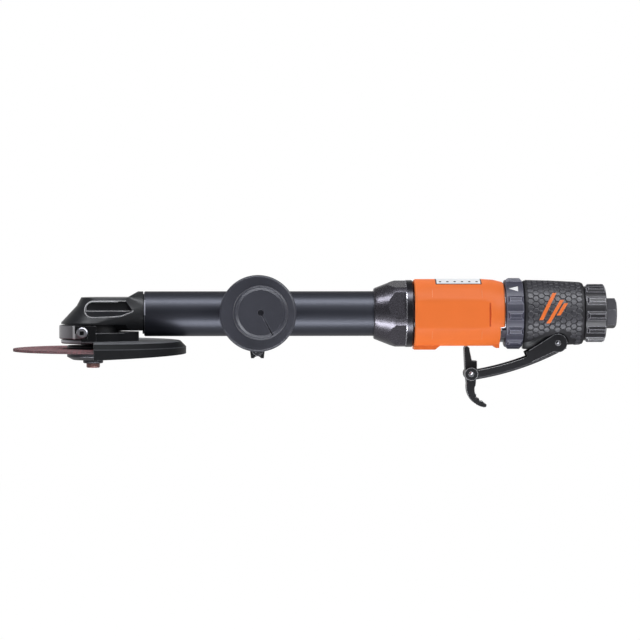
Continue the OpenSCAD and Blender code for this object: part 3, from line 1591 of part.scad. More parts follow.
head_housing();
bearing_cap();
spindle_lower_bearing();
spindle_upper_bearing();
spindle();
bevel_gear();
bevel_pinion();
pinion_bearings();
pinion_retainer();
inner_flange();
cutting_wheel();
outer_flange();
bolt_washer();
wheel_bolt();
wheel_guard();
guard_strap();
guard_screws();
barrel_tube();
drive_shaft();
shaft_bearing();
front_coupling();
rear_coupling();
lock_nut();
handle_clamp();
clamp_screw();
clamp_nut();
handle_stud();
side_handle();
motor_case();
motor_housing();
cylinder_liner();
front_end_plate();
rear_end_plate();
rotor();
rotor_vanes();
front_rotor_bearing();
rear_rotor_bearing();
liner_pin();
handle_body();
grip_sleeve();
regulator_ring();
exhaust_deflector();
muffler();
inlet_bushing();
inlet_screen();
throttle_lever();
lever_pin();
lock_lever();
lock_pin();
lock_spring();
valve_stem();
valve_bushing();
valve_seal();
valve_spring();
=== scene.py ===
import math

import bpy
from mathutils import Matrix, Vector
from mathutils.bvhtree import BVHTree


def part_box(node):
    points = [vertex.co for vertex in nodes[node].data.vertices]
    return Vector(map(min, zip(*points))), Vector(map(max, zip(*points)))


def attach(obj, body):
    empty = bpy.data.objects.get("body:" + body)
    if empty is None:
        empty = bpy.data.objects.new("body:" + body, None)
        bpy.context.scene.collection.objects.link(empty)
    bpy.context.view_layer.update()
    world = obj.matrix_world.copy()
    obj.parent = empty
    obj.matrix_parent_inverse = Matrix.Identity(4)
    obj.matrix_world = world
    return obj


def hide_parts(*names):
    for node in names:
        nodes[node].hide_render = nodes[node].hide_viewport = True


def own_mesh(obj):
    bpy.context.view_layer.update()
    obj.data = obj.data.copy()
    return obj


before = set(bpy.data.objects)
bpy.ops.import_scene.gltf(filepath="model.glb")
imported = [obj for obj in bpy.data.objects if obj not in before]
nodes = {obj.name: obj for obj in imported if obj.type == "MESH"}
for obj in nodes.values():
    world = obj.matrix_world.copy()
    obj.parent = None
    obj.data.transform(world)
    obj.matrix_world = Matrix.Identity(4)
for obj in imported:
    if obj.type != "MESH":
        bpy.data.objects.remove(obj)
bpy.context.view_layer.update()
scene = bpy.context.scene

MM = 0.001
WHITE = (1.0, 1.0, 1.0, 1.0)


# Materials

# Colour sockets of a Mix node
MIX_A, MIX_B, MIX_RESULT = 6, 7, 2
# Scale of a texture along each axis
EVEN = (1.0, 1.0, 1.0)
TURNED = (0.04, 1.0, 1.0)
DRAWN = (8.0, 0.6, 0.6)
BRUSHED = (0.5, 0.5, 6.0)
LAYERED = (0.1, 1.0, 1.0)
# Colour of the shine on blued steel
BLUED = (0.82, 0.85, 1.0, 1.0)
CLOUD_SIZE = 18 * MM
CLOUD_DETAIL = 4.0
GRAIN_DETAIL = 2.0
GRAIN_SHARE = 0.35
# Patches of the edge colour, which is partly worn edges and partly painted highlight
WEAR_AND_LIGHT_PATCH = 2.5 * MM
# Cosines between the rounded and the true normal, on a full edge and on flat ground
EDGE_COSINES = (0.86, 0.98)
EDGE_SAMPLES = 4
# Painted shade in narrow corners, from ambient occlusion
# Open shares of the space around a point, in a full crease and on open ground
CREASE_OPEN = (0.35, 0.75)
CREASE_MOST = 0.7
CREASE_REACH = 1.6 * MM
CREASE_SHADE = 0.45
CREASE_SAMPLES = 6
# Share of an edge's mask at which a mark on it has its full colour
MARK_FULL = 0.5


class Tree:
    """Shorthand for the node tree of one material."""

    def __init__(self, name):
        self.material = bpy.data.materials.new(name)
        self.material.use_nodes = True
        self.nodes = self.material.node_tree.nodes
        self.links = self.material.node_tree.links
        self.shader = self.nodes["Principled BSDF"]

    def add(self, kind, inputs=None, **settings):
        node = self.nodes.new(kind)
        for key, value in settings.items():
            setattr(node, key, value)
        for key, value in (inputs or {}).items():
            self.feed(node.inputs[key], value)
        return node

    def feed(self, socket, value):
        """Links an output, or sets a constant."""
        if isinstance(value, bpy.types.NodeSocket):
            self.links.new(value, socket)
        else:
            socket.default_value = value

    def place(self, stretch=EVEN):
        coords = self.add("ShaderNodeTexCoord").outputs["Object"]
        return self.add("ShaderNodeMapping", {"Vector": coords, "Scale": stretch}).outputs["Vector"]

    def noise(self, size, detail=3.0, stretch=EVEN):
        node = self.add("ShaderNodeTexNoise", {"Vector": self.place(stretch), "Scale": 1.0 / size, "Detail": detail})
        return node.outputs["Fac"]

    def span(self, value, low, high, start=0.25, end=0.75):
        """Carries a range, which is the middle of a noise's unless it is given, over to low and high."""
        node = self.add("ShaderNodeMapRange", {"Value": value, "From Min": start, "From Max": end,
                                              "To Min": low, "To Max": high})
        return node.outputs["Result"]

    def mix(self, fac, a, b):
        node = self.add("ShaderNodeMix", data_type="RGBA")
        self.feed(node.inputs["Factor"], fac)
        self.feed(node.inputs[MIX_A], a)
        self.feed(node.inputs[MIX_B], b)
        return node.outputs[MIX_RESULT]

    def math(self, operation, a, b=0.0):
        node = self.add("ShaderNodeMath", operation=operation)
        self.feed(node.inputs[0], a)
        self.feed(node.inputs[1], b)
        return node.outputs[0]

    def bump(self, height, depth):
        node = self.add("ShaderNodeBump", {"Height": height, "Distance": depth, "Strength": 1.0})
        self.feed(self.shader.inputs["Normal"], node.outputs["Normal"])

    def edges(self, radius):
        """1 on edges, 0 on flat ground."""
        soft = self.add("ShaderNodeBevel", {"Radius": radius}, samples=EDGE_SAMPLES).outputs["Normal"]
        true = self.add("ShaderNodeNewGeometry").outputs["Normal"]
        node = self.add("ShaderNodeVectorMath", operation="DOT_PRODUCT")
        self.links.new(soft, node.inputs[0])
        self.links.new(true, node.inputs[1])
        return self.span(node.outputs["Value"], 1.0, 0.0, *EDGE_COSINES)

    def painted_crease_shade(self):
        """Painted shade from ambient occlusion: CREASE_MOST deep in narrow corners, and 0 on open ground."""
        node = self.add("ShaderNodeAmbientOcclusion", {"Distance": CREASE_REACH}, samples=CREASE_SAMPLES)
        return self.span(node.outputs["AO"], CREASE_MOST, 0.0, *CREASE_OPEN)

    def inside(self, low, high):
        """1 inside a box of the frame, given without regard to the sign of Y, and 0 outside it."""
        coords = self.add("ShaderNodeSeparateXYZ", {"Vector": self.place()}).outputs
        total = None
        for axis, start, end in zip("XYZ", low, high):
            value = self.math("ABSOLUTE", coords[axis]) if axis == "Y" else coords[axis]
            both = self.math("MULTIPLY", self.math("GREATER_THAN", value, start), self.math("LESS_THAN", value, end))
            total = both if total is None else self.math("MULTIPLY", total, both)
        return total


def srgb(r, g, b):
    """Linear colour of an 8-bit screen colour."""
    def one(c):
        c /= 255.0
        return c / 12.92 if c <= 0.04045 else ((c + 0.055) / 1.055) ** 2.4
    return (one(r), one(g), one(b), 1.0)


def shade(colour, factor):
    return tuple(min(1.0, c * factor) for c in colour[:3]) + (1.0,)


def finish(name, colour, rough, metal=0.0, specular=0.5, tint=WHITE, grain=0.5 * MM, depth=0.01 * MM, spread=0.12,
           rough_spread=0.06, stretch=EVEN, wear_and_light=None, wear_and_light_colour=None, wear_and_light_least=0.25, marks=()):
    """A procedural finish: cloudy colour, grain in the relief and the gloss, an edge colour that stands partly for
    worn edges and partly for painted highlights, and painted shade in corners.

    marks lists places painted in another colour, most of them painted highlights and painted shade: (a function that
    gives the mask, colour, edge width or None).
    """
    tree = Tree(name)
    cloud = tree.noise(CLOUD_SIZE, CLOUD_DETAIL)
    fine = tree.noise(grain, GRAIN_DETAIL, stretch)
    tone = tree.mix(tree.span(cloud, 0.0, 1.0), shade(colour, 1.0 - spread), shade(colour, 1.0 + spread))
    tone = tree.mix(tree.span(fine, 0.0, GRAIN_SHARE), tone, shade(colour, 1.0 + 2.0 * spread))
    # Edge colour: partly worn edges, partly painted highlights, and on some looks painted shade
    if wear_and_light:
        patchy_wear_and_light = tree.math("MULTIPLY", tree.edges(wear_and_light), tree.span(tree.noise(WEAR_AND_LIGHT_PATCH), wear_and_light_least, 1.0))
        tone = tree.mix(patchy_wear_and_light, tone, wear_and_light_colour)
    # Painted shade: narrow corners darkened by ambient occlusion
    tone = tree.mix(tree.painted_crease_shade(), tone, shade(colour, CREASE_SHADE))
    for mask, mark, width in marks:
        share = mask(tree)
        if width:
            share = tree.math("MULTIPLY", tree.span(tree.edges(width), 0.0, 1.0, 0.0, MARK_FULL), share)
        tone = tree.mix(share, tone, mark)
    tree.feed(tree.shader.inputs["Base Color"], tone)
    tree.feed(tree.shader.inputs["Roughness"], tree.span(fine, rough - rough_spread, rough + rough_spread))
    tree.feed(tree.shader.inputs["Metallic"], metal)
    tree.feed(tree.shader.inputs["Specular IOR Level"], specular)
    tree.feed(tree.shader.inputs["Specular Tint"], tint)
    tree.bump(fine, depth)
    return tree.material


# Span that takes in the whole tool, in millimetres
ALL = (-400.0, 400.0)


def in_box(x=ALL, y=ALL, z=ALL):
    """Mask of a box, from spans in millimetres, that of y without its sign."""
    low, high = zip(*((a * MM, b * MM) for a, b in (x, y, z)))
    return lambda tree: tree.inside(low, high)


# Painted highlights on edges and ends, in place of the light that their bevels and chamfers catch
POCKET_HIGHLIGHT = srgb(244, 244, 248)
POCKET_EDGE = 1.2 * MM
pocket_highlight_main = in_box((-340.5, -317.5), (9.0, 19.5), (-2.6, 9.6))
pocket_highlight_top = in_box((-317.5, -312.6), (9.0, 19.5), (8.3, 9.6))
pocket_highlight_tip = in_box((-317.5, -307.0), (9.0, 19.5), (-2.6, 2.6))
# Painted highlight lines along the guard's bend and skirt and on the top edge of its ear
guard_bend_highlight = in_box(z=(-17.4, -16.9))
guard_ear_highlight = in_box((-333.5, -313.5), (5.0, 70.0), (-12.2, -11.2))
guard_skirt_highlight = in_box(z=(-21.0, -20.4))
# Painted highlights on the strap's end and on the barrel's end chamfer
strap_end_highlight = in_box((-346.0, -344.4), (14.0, 22.0), (-16.0, -6.0))
barrel_end_highlight = in_box((-302.0, -300.3), (10.0, 30.0), (-0.5, 9.0))
# Painted highlight on the ends of the nut's flats
nut_flat_highlight = in_box((-135.3, -133.9))
# Painted highlight on the end walls of the housing's side recesses
recess_end_highlight = in_box((-118.6, -116.6), (9.0, 24.0), (-17.0, 15.0))
# Painted highlights on the edges of the ring's flutes and of the deflector's ribs
ring_flute_highlight = in_box((-71.6, -60.4))
deflector_rib_highlight = in_box((-20.6, -8.0))

# Places painted darker
# Painted shade in the hex socket of the guard screws
screw_socket_shade = in_box((-341.4, -338.8), z=(-12.7, -10.2))
nut_collar = in_box((-134.4, -129.0))
# Painted shade in the inner corner of the step at the panel's end
panel_step_shade = in_box((-82.5, -81.5), (14.0, 24.0), (-7.7, 7.4))
ring_tab = in_box((-84.0, -72.1))
cheek_end = in_box((-59.5, -54.2), z=(-32.2, -23.5))

looks = {
    # Painted highlights round the mouth of the side pocket
    "head": finish("head_black", srgb(33, 34, 37), 0.4, specular=0.2, grain=0.35 * MM, depth=0.015 * MM,
                   wear_and_light=0.3 * MM, wear_and_light_colour=srgb(84, 85, 90),
                   marks=[(part, POCKET_HIGHLIGHT, POCKET_EDGE) for part in (pocket_highlight_main, pocket_highlight_top, pocket_highlight_tip)]),
    "clamp": finish("clamp_black", srgb(31, 32, 35), 0.42, specular=0.18, grain=0.35 * MM, depth=0.015 * MM,
                    wear_and_light=0.3 * MM, wear_and_light_colour=srgb(84, 85, 90)),
    # Painted highlight lines on the guard's bend, skirt and ear
    "guard": finish("guard_black", srgb(30, 31, 33), 0.5, specular=0.04, grain=0.4 * MM, depth=0.012 * MM,
                    wear_and_light=0.35 * MM, wear_and_light_colour=srgb(150, 151, 155),
                    marks=((guard_bend_highlight, srgb(104, 105, 109), None), (guard_skirt_highlight, srgb(68, 69, 72), None),
                           (guard_ear_highlight, srgb(176, 177, 181), 0.8 * MM))),
    # Painted highlight on the barrel's end chamfer
    "barrel": finish("barrel_black", srgb(28, 29, 36), 0.4, specular=0.36, tint=BLUED, grain=0.5 * MM,
                     depth=0.003 * MM, rough_spread=0.03, stretch=DRAWN, wear_and_light=0.4 * MM,
                     wear_and_light_colour=srgb(150, 151, 158), marks=((barrel_end_highlight, srgb(158, 159, 170), None),)),
    # Painted highlight on the ends of the flats, and the collar painted darker
    "nut": finish("nut_black", srgb(76, 74, 80), 0.27, metal=0.8, specular=0.3, grain=0.5 * MM, depth=0.009 * MM,
                  wear_and_light=0.35 * MM, wear_and_light_colour=srgb(150, 148, 157),
                  marks=((nut_collar, srgb(44, 43, 47), None), (nut_flat_highlight, srgb(226, 226, 232), 0.5 * MM))),
    # Painted highlight on the strap's end
    "strap": finish("strap_steel", srgb(126, 125, 129), 0.36, metal=0.9, grain=0.3 * MM, depth=0.01 * MM,
                    stretch=BRUSHED, wear_and_light=0.4 * MM, wear_and_light_colour=srgb(220, 220, 224),
                    marks=((strap_end_highlight, srgb(226, 226, 230), None),)),
    "steel": finish("bright_steel", srgb(176, 179, 185), 0.28, metal=1.0, grain=0.3 * MM, depth=0.006 * MM),
    # Edges painted bright, partly worn metal and partly painted highlight; painted shade in the sockets
    "screw": finish("screw_steel", srgb(152, 152, 158), 0.34, metal=0.9, grain=0.3 * MM, depth=0.008 * MM,
                    wear_and_light=0.4 * MM, wear_and_light_colour=srgb(220, 220, 226),
                    marks=((screw_socket_shade, srgb(40, 40, 43), None),)),
    "dark_steel": finish("dark_steel", srgb(54, 54, 58), 0.38, metal=0.6, specular=0.3, grain=0.35 * MM,
                         depth=0.01 * MM, wear_and_light=0.5 * MM, wear_and_light_colour=srgb(212, 212, 218)),
    # Painted shade: the pins' edges darker round their glint
    "pin": finish("pin_steel", srgb(156, 156, 162), 0.26, metal=0.9, grain=0.3 * MM, depth=0.006 * MM,
                  wear_and_light=0.35 * MM, wear_and_light_colour=srgb(52, 52, 55)),
    "bolt": finish("bolt_steel", srgb(104, 74, 70), 0.38, metal=0.5, grain=0.35 * MM, depth=0.01 * MM,
                   wear_and_light=0.3 * MM, wear_and_light_colour=srgb(160, 140, 136)),
    "inlet": finish("inlet_steel", srgb(40, 39, 44), 0.4, metal=0.2, specular=0.2, grain=0.35 * MM,
                    depth=0.01 * MM, wear_and_light=0.4 * MM, wear_and_light_colour=srgb(176, 175, 182), wear_and_light_least=0.7),
    # Painted highlight on the recess ends, and painted shade in the corner of the panel step
    "orange": finish("housing_orange", srgb(242, 121, 56), 0.46, specular=0.06, grain=0.45 * MM, depth=0.012 * MM,
                     spread=0.03, wear_and_light=0.5 * MM, wear_and_light_colour=srgb(252, 166, 112),
                     marks=((panel_step_shade, srgb(204, 84, 42), None), (recess_end_highlight, srgb(255, 176, 122), 0.5 * MM))),
    "handle": finish("handle_plastic", srgb(60, 61, 70), 0.42, specular=0.2, grain=0.5 * MM, depth=0.015 * MM,
                     spread=0.1, wear_and_light=0.45 * MM, wear_and_light_colour=srgb(142, 143, 154)),
    # Painted highlights on the flutes' edges
    "ring": finish("ring_plastic", srgb(60, 60, 75), 0.42, specular=0.22, grain=0.4 * MM, depth=0.012 * MM,
                   spread=0.06, wear_and_light=0.45 * MM, wear_and_light_colour=srgb(150, 151, 166),
                   marks=((ring_tab, srgb(56, 50, 63), None), (ring_flute_highlight, srgb(138, 138, 156), 0.9 * MM))),
    # Painted highlights on the ribs' edges
    "deflector": finish("deflector_plastic", srgb(29, 28, 33), 0.36, specular=0.24, grain=0.4 * MM,
                        depth=0.012 * MM, wear_and_light=0.45 * MM, wear_and_light_colour=srgb(152, 151, 161),
                        marks=((deflector_rib_highlight, srgb(178, 177, 186), 0.9 * MM),)),
    "grip": finish("grip_rubber", srgb(32, 31, 35), 0.55, specular=0.12, grain=0.25 * MM, depth=0.02 * MM,
                   spread=0.1),
    "cells": finish("grip_cells", srgb(43, 42, 49), 0.42, specular=0.3, grain=0.3 * MM, depth=0.015 * MM),
    # Painted highlight: the lever's edges coloured near white, partly as worn edges
    "lever": finish("lever_black", srgb(38, 38, 41), 0.36, specular=0.14, grain=0.4 * MM, depth=0.01 * MM,
                    wear_and_light=0.6 * MM, wear_and_light_colour=srgb(226, 227, 232), wear_and_light_least=0.8,
                    marks=((cheek_end, srgb(40, 40, 43), None),)),
    "aluminium": finish("case_aluminium", srgb(165, 168, 173), 0.36, metal=1.0, grain=0.3 * MM, stretch=TURNED),
    "brass": finish("brass_fitting", srgb(201, 165, 92), 0.3, metal=1.0, grain=0.3 * MM),
    "seal": finish("seal_rubber", srgb(30, 30, 32), 0.6),
    "felt": finish("muffler_felt", srgb(138, 135, 130), 0.9, grain=0.8 * MM, depth=0.2 * MM),
    "vane": finish("vane_resin", srgb(122, 90, 60), 0.5, stretch=LAYERED),
    "white": finish("mark_white", srgb(238, 238, 238), 0.5, specular=0.3, spread=0.02, depth=0.004 * MM),
    "label": finish("label_grey", srgb(226, 227, 230), 0.5, specular=0.3, spread=0.03, depth=0.004 * MM),
    "ink": finish("label_ink", srgb(46, 46, 50), 0.55, specular=0.3, spread=0.05, depth=0.004 * MM),
}

# Abrasive of the cutting wheel
BOND_CLOUD = 9 * MM
BOND_TONES = (srgb(114, 52, 58), srgb(146, 82, 87))
GRIT_SIZE = 0.35 * MM
GRIT_TONE = srgb(74, 50, 58)
GRIT_SHARE = 0.55
GRIT_ROUGH = (0.75, 0.95)
GRIT_DEPTH = 0.08 * MM
CLOTH_SCALE = 95.0
CLOTH_BEND = 0.6
# Heights of a wave at which a thread starts and is full
CLOTH_THREAD = (0.55, 0.8)
CLOTH_TONE = srgb(84, 54, 60)
CLOTH_SHARE = 0.55


def abrasive():
    """Bonded grit with the weave of its cloth showing through."""
    tree = Tree("wheel_abrasive")
    grit = tree.noise(GRIT_SIZE, GRAIN_DETAIL)
    cloud = tree.noise(BOND_CLOUD)
    weave = None
    for axis in ("X", "Y"):
        wave = tree.add("ShaderNodeTexWave", {"Vector": tree.place(), "Scale": CLOTH_SCALE, "Distortion": CLOTH_BEND},
                        bands_direction=axis)
        line = tree.span(wave.outputs["Fac"], 0.0, 1.0, *CLOTH_THREAD)
        weave = line if weave is None else tree.math("MAXIMUM", weave, line)
    tone = tree.mix(tree.span(cloud, 0.0, 1.0), *BOND_TONES)
    tone = tree.mix(tree.span(grit, 0.0, GRIT_SHARE), tone, GRIT_TONE)
    tone = tree.mix(tree.math("MULTIPLY", weave, CLOTH_SHARE), tone, CLOTH_TONE)
    tree.feed(tree.shader.inputs["Base Color"], tone)
    tree.feed(tree.shader.inputs["Roughness"], tree.span(grit, *GRIT_ROUGH))
    tree.bump(tree.math("ADD", grit, weave), GRIT_DEPTH)
    return tree.material


looks["abrasive"] = abrasive()


# Nodes of the frame

# A node that isn't listed is bright steel
node_look = {
    "head": ["head_housing"],
    "clamp": ["handle_clamp", "handle_body"],
    "guard": ["wheel_guard"],
    "barrel": ["barrel_tube"],
    "nut": ["lock_nut"],
    "strap": ["guard_strap"],
    "screw": ["guard_screws", "bearing_cap"],
    "dark_steel": ["pinion_retainer", "inner_flange", "outer_flange", "bolt_washer", "clamp_screw", "clamp_nut"],
    "pin": ["lever_pin", "lock_pin"],
    "bolt": ["wheel_bolt"],
    "inlet": ["inlet_bushing"],
    "orange": ["motor_housing"],
    "handle": ["side_handle"],
    "ring": ["regulator_ring"],
    "deflector": ["exhaust_deflector"],
    "grip": ["grip_sleeve"],
    "lever": ["throttle_lever", "lock_lever"],
    "aluminium": ["motor_case", "front_end_plate", "rear_end_plate"],
    "brass": ["valve_bushing", "inlet_screen"],
    "seal": ["valve_seal"],
    "felt": ["muffler"],
    "vane": ["rotor_vanes"],
    "abrasive": ["cutting_wheel"],
}
look_of = {node: look for look, members in node_look.items() for node in members}

# Edge rounding of the nodes that show, in metres
edge_round = {
    "head_housing": 0.45 * MM, "wheel_guard": 0.3 * MM, "guard_strap": 0.2 * MM, "lock_nut": 0.35 * MM,
    "motor_housing": 0.4 * MM, "handle_clamp": 0.4 * MM, "regulator_ring": 0.12 * MM,
    "exhaust_deflector": 0.12 * MM, "inlet_bushing": 0.15 * MM, "throttle_lever": 0.25 * MM, "lock_lever": 0.5 * MM,
    "bearing_cap": 0.2 * MM, "outer_flange": 0.2 * MM, "inner_flange": 0.15 * MM, "side_handle": 0.25 * MM,
    "grip_sleeve": 0.3 * MM, "clamp_screw": 0.2 * MM, "clamp_nut": 0.2 * MM, "barrel_tube": 0.4 * MM,
    "guard_screws": 0.25 * MM, "wheel_bolt": 0.25 * MM, "bolt_washer": 0.2 * MM,
}
EDGE_ANGLE = math.radians(24)
EDGE_SEGMENTS = 2
WELD_REACH = 0.002 * MM
NORMAL_WEIGHT = 50


def round_edges(obj, width, angle):
    bevel = obj.modifiers.new("edges", "BEVEL")
    bevel.width = width
    bevel.segments = EDGE_SEGMENTS
    bevel.limit_method = "ANGLE"
    bevel.angle_limit = angle


def dress_nodes():
    for name, obj in nodes.items():
        obj.data.materials.clear()
        obj.data.materials.append(looks[look_of.get(name, "steel")])
        weld = obj.modifiers.new("weld", "WELD")
        weld.merge_threshold = WELD_REACH
        if name in edge_round:
            round_edges(obj, edge_round[name], EDGE_ANGLE)
        normals = obj.modifiers.new("normals", "WEIGHTED_NORMAL")
        normals.keep_sharp = False
        normals.weight = NORMAL_WEIGHT


dress_nodes()


# Pieces of the scene's own

def piece(name, verts, faces, body, look, smooth=False):
    """Mesh with a look, which rides on a body."""
    mesh = bpy.data.meshes.new(name)
    mesh.from_pydata(verts, [], faces)
    mesh.validate()
    mesh.update()
    mesh.materials.append(looks[look])
    for face in mesh.polygons:
        face.use_smooth = smooth
    obj = bpy.data.objects.new(name, mesh)
    scene.collection.objects.link(obj)
    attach(obj, body)
    return obj


# Valve spring: a fixed coil over the height of the node's spring, which is hidden
SPRING_X = -53.0 * MM
SPRING_RADIUS = 2.7 * MM
SPRING_WIRE = 0.4 * MM
SPRING_TURNS = 6
SPRING_STEPS = 24
SPRING_SIDES = 10


def valve_spring():
    low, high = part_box("valve_spring")
    start, end = low.z + SPRING_WIRE, high.z - SPRING_WIRE
    count = SPRING_TURNS * SPRING_STEPS
    verts, faces = [], []
    for i in range(count + 1):
        turn = 2 * math.pi * i / SPRING_STEPS
        z = start + (end - start) * i / count
        for j in range(SPRING_SIDES):
            side = 2 * math.pi * j / SPRING_SIDES
            r = SPRING_RADIUS + SPRING_WIRE * math.cos(side)
            verts.append((SPRING_X + r * math.cos(turn), r * math.sin(turn), z + SPRING_WIRE * math.sin(side)))
    for i in range(count):
        for j in range(SPRING_SIDES):
            a, b = i * SPRING_SIDES + j, i * SPRING_SIDES + (j + 1) % SPRING_SIDES
            faces.append((a, a + SPRING_SIDES, b + SPRING_SIDES, b))
    faces.append(tuple(range(SPRING_SIDES)))
    faces.append(tuple(count * SPRING_SIDES + j for j in reversed(range(SPRING_SIDES))))
    coil = piece("valve_spring_coil", verts, faces, "tool_body", "steel", smooth=True)
    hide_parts("valve_spring")
    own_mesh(coil)


valve_spring()


# Pieces laid on the surface of a node

# Rays to a node start at so many times its reach from the tool axis
RAY_START = 2.0
# Share of a plate's lift that its edges are rounded by
PLATE_ROUND = 0.4
PLATE_EDGE_ANGLE = math.radians(50)


def surface(node):
    """Function that gives the outer radius of a node about the tool axis at x and an angle, or None."""
    mesh = nodes[node].data
    tree = BVHTree.FromPolygons([v.co for v in mesh.vertices], [tuple(p.vertices) for p in mesh.polygons])
    far = RAY_START * max(abs(c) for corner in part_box(node) for c in corner[1:])

    def radius(x, angle):
        out = Vector((0.0, -math.cos(angle), math.sin(angle)))
        hit = tree.ray_cast(Vector((x, 0.0, 0.0)) + out * far, -out)[0]
        return hit.yz.length if hit else None
    return radius


def on_axis(x, angle, radius):
    """Point at x, at an angle above the near side, at a radius from the tool axis."""
    return (x, -math.cos(angle) * radius, math.sin(angle) * radius)


def plate(name, node, body, corners, steps, lift, sink, look):
    """Thin plate that follows a node's surface, between four corners of (x, angle)."""
    radius = surface(node)
    columns, rows = steps
    top, low = [], []
    for i in range(columns + 1):
        for j in range(rows + 1):
            u, v = i / columns, j / rows
            weights = ((1 - u) * (1 - v), u * (1 - v), u * v, (1 - u) * v)
            x, angle = (sum(weight * corner[k] for weight, corner in zip(weights, corners)) for k in (0, 1))
            r = radius(x, angle)
            top.append(on_axis(x, angle, r + lift))
            low.append(on_axis(x, angle, r - sink))
    count = len(top)

    def at(i, j):
        return i * (rows + 1) + j
    faces = []
    for i in range(columns):
        for j in range(rows):
            quad = [at(i, j), at(i + 1, j), at(i + 1, j + 1), at(i, j + 1)]
            faces.append(quad)
            faces.append([k + count for k in reversed(quad)])
    rim = [at(i, 0) for i in range(columns)] + [at(columns, j) for j in range(rows)]
    rim += [at(i, rows) for i in range(columns, 0, -1)] + [at(0, j) for j in range(rows, 0, -1)]
    for a, b in zip(rim, rim[1:] + rim[:1]):
        faces.append([b, a, a + count, b + count])
    obj = piece(name, top + low, faces, body, look)
    round_edges(obj, lift * PLATE_ROUND, PLATE_EDGE_ANGLE)


# Hexagon relief of the grip
HEX = 6
CELL_SIDE = 2.3 * MM
CELL_PITCH = 1.5 * CELL_SIDE
CELL_ROWS = 32
CELL_RISE = 0.32 * MM
CELL_SINK = 0.15 * MM
CELL_MARGIN = 2.6 * MM
# A cell is left out where the grip drops more than this, within so many times the cell's size
CELL_DROP = 0.6 * MM
CELL_KEEP = 1.5
# Share of the cell's size and height above the grip, from its foot to its top
CELL_RINGS = ((0.93, -CELL_SINK), (0.90, 0.55 * CELL_RISE), (0.76, CELL_RISE))


def grip_cells():
    radius = surface("grip_sleeve")
    low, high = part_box("grip_sleeve")
    first, last = low.x + CELL_MARGIN, high.x - CELL_MARGIN
    columns = int((last - first) / CELL_PITCH)
    start = first + ((last - first) - columns * CELL_PITCH) / 2
    turn = 2 * math.pi / CELL_ROWS
    bearings = [2 * math.pi * k / HEX for k in range(HEX)]
    corners = [(math.cos(b) * CELL_SIDE, math.sin(b) * turn / math.sqrt(3)) for b in bearings]
    verts, faces = [], []
    for column in range(columns + 1):
        for row in range(CELL_ROWS):
            x0 = start + column * CELL_PITCH
            a0 = (row + 0.5 * (column % 2)) * turn
            r0 = radius(x0, math.pi / 2)
            around = [radius(x0 + CELL_KEEP * dx, a0 + CELL_KEEP * da) for dx, da in corners]
            if any(r is None or r < r0 - CELL_DROP for r in around):
                continue
            base = len(verts)
            for share, rise in CELL_RINGS:
                for dx, da in corners:
                    x, a = x0 + share * dx, a0 + share * da
                    verts.append(on_axis(x, a, (radius(x, a) or r0) + rise))
            verts.append(on_axis(x0, a0, r0 + CELL_RISE))
            for ring in range(len(CELL_RINGS) - 1):
                for k in range(HEX):
                    a, b = base + HEX * ring + k, base + HEX * ring + (k + 1) % HEX
                    faces.append((a, b, b + HEX, a + HEX))
            top = base + HEX * (len(CELL_RINGS) - 1)
            for k in range(HEX):
                faces.append((top + k, top + (k + 1) % HEX, top + HEX))
            faces.append(tuple(base + k for k in reversed(range(HEX))))
    piece("grip_cells", verts, faces, "tool_body", "cells")


grip_cells()

# Slanted bars on both sides of the grip: x in millimetres, lowest and highest angle, and lean in millimetres
BARS = ((-46.5, -10, 40, 9), (-42.0, -16, 26, 9), (-37.5, -2, 20, 5))
BAR_WIDTH = 2.5 * MM
BAR_LIFT = 0.42 * MM
BAR_STEPS = (2, 16)


def grip_bars():
    for side, mirror in (("near", False), ("far", True)):
        for number, (x, low, high, lean) in enumerate(BARS):
            x0, x1 = x * MM - lean * MM / 2, x * MM + lean * MM / 2
            a0, a1 = math.radians(low), math.radians(high)
            if mirror:
                a0, a1 = math.pi - a0, math.pi - a1
            corners = ((x0, a0), (x0 + BAR_WIDTH, a0), (x1 + BAR_WIDTH, a1), (x1, a1))
            plate(f"grip_bar_{side}_{number}", "grip_sleeve", "tool_body", corners, BAR_STEPS, BAR_LIFT, CELL_SINK,
                  "orange")


grip_bars()

# Lift and sink of one printed layer
PRINT_LIFT = 0.06 * MM
PRINT_SINK = 0.05 * MM

# Pointer on the regulator ring, a triangle with a narrow edge for its tip
POINTER_X = (-69.6 * MM, -63.9 * MM)
POINTER_ANGLE = (math.radians(42.3), math.radians(48.8), math.radians(55.3))
POINTER_TIP = math.radians(0.4)
POINTER_STEPS = (6, 6)


def ring_pointer():
    tip, foot = POINTER_X
    low, middle, high = POINTER_ANGLE
    corners = ((tip, middle), (foot, low), (foot, high), (tip, middle + POINTER_TIP))
    plate("ring_pointer", "regulator_ring", "regulator", corners, POINTER_STEPS, PRINT_LIFT, PRINT_SINK,
          "white")


ring_pointer()

# Blank label over the top of the housing: a frame, a plate and a row of plain ticks, with angles in degrees
LABEL_X = (-116.1 * MM, -86.8 * MM)
LABEL_ANGLE = (59.0, 121.0)
LABEL_FRAME = 0.7 * MM
LABEL_FRAME_ANGLE = 1.9
LABEL_STEPS = (4, 24)
TICKS = 6
TICK_SHARE = 0.3
TICK_ANGLE = (66.0, 70.0)


def label_plate(name, x_span, angle_span, layer, look):
    (x0, x1), (a0, a1) = x_span, (math.radians(a) for a in angle_span)
    plate(name, "motor_housing", "tool_body", ((x0, a0), (x1, a0), (x1, a1), (x0, a1)), LABEL_STEPS,
          PRINT_LIFT * layer, PRINT_SINK, look)


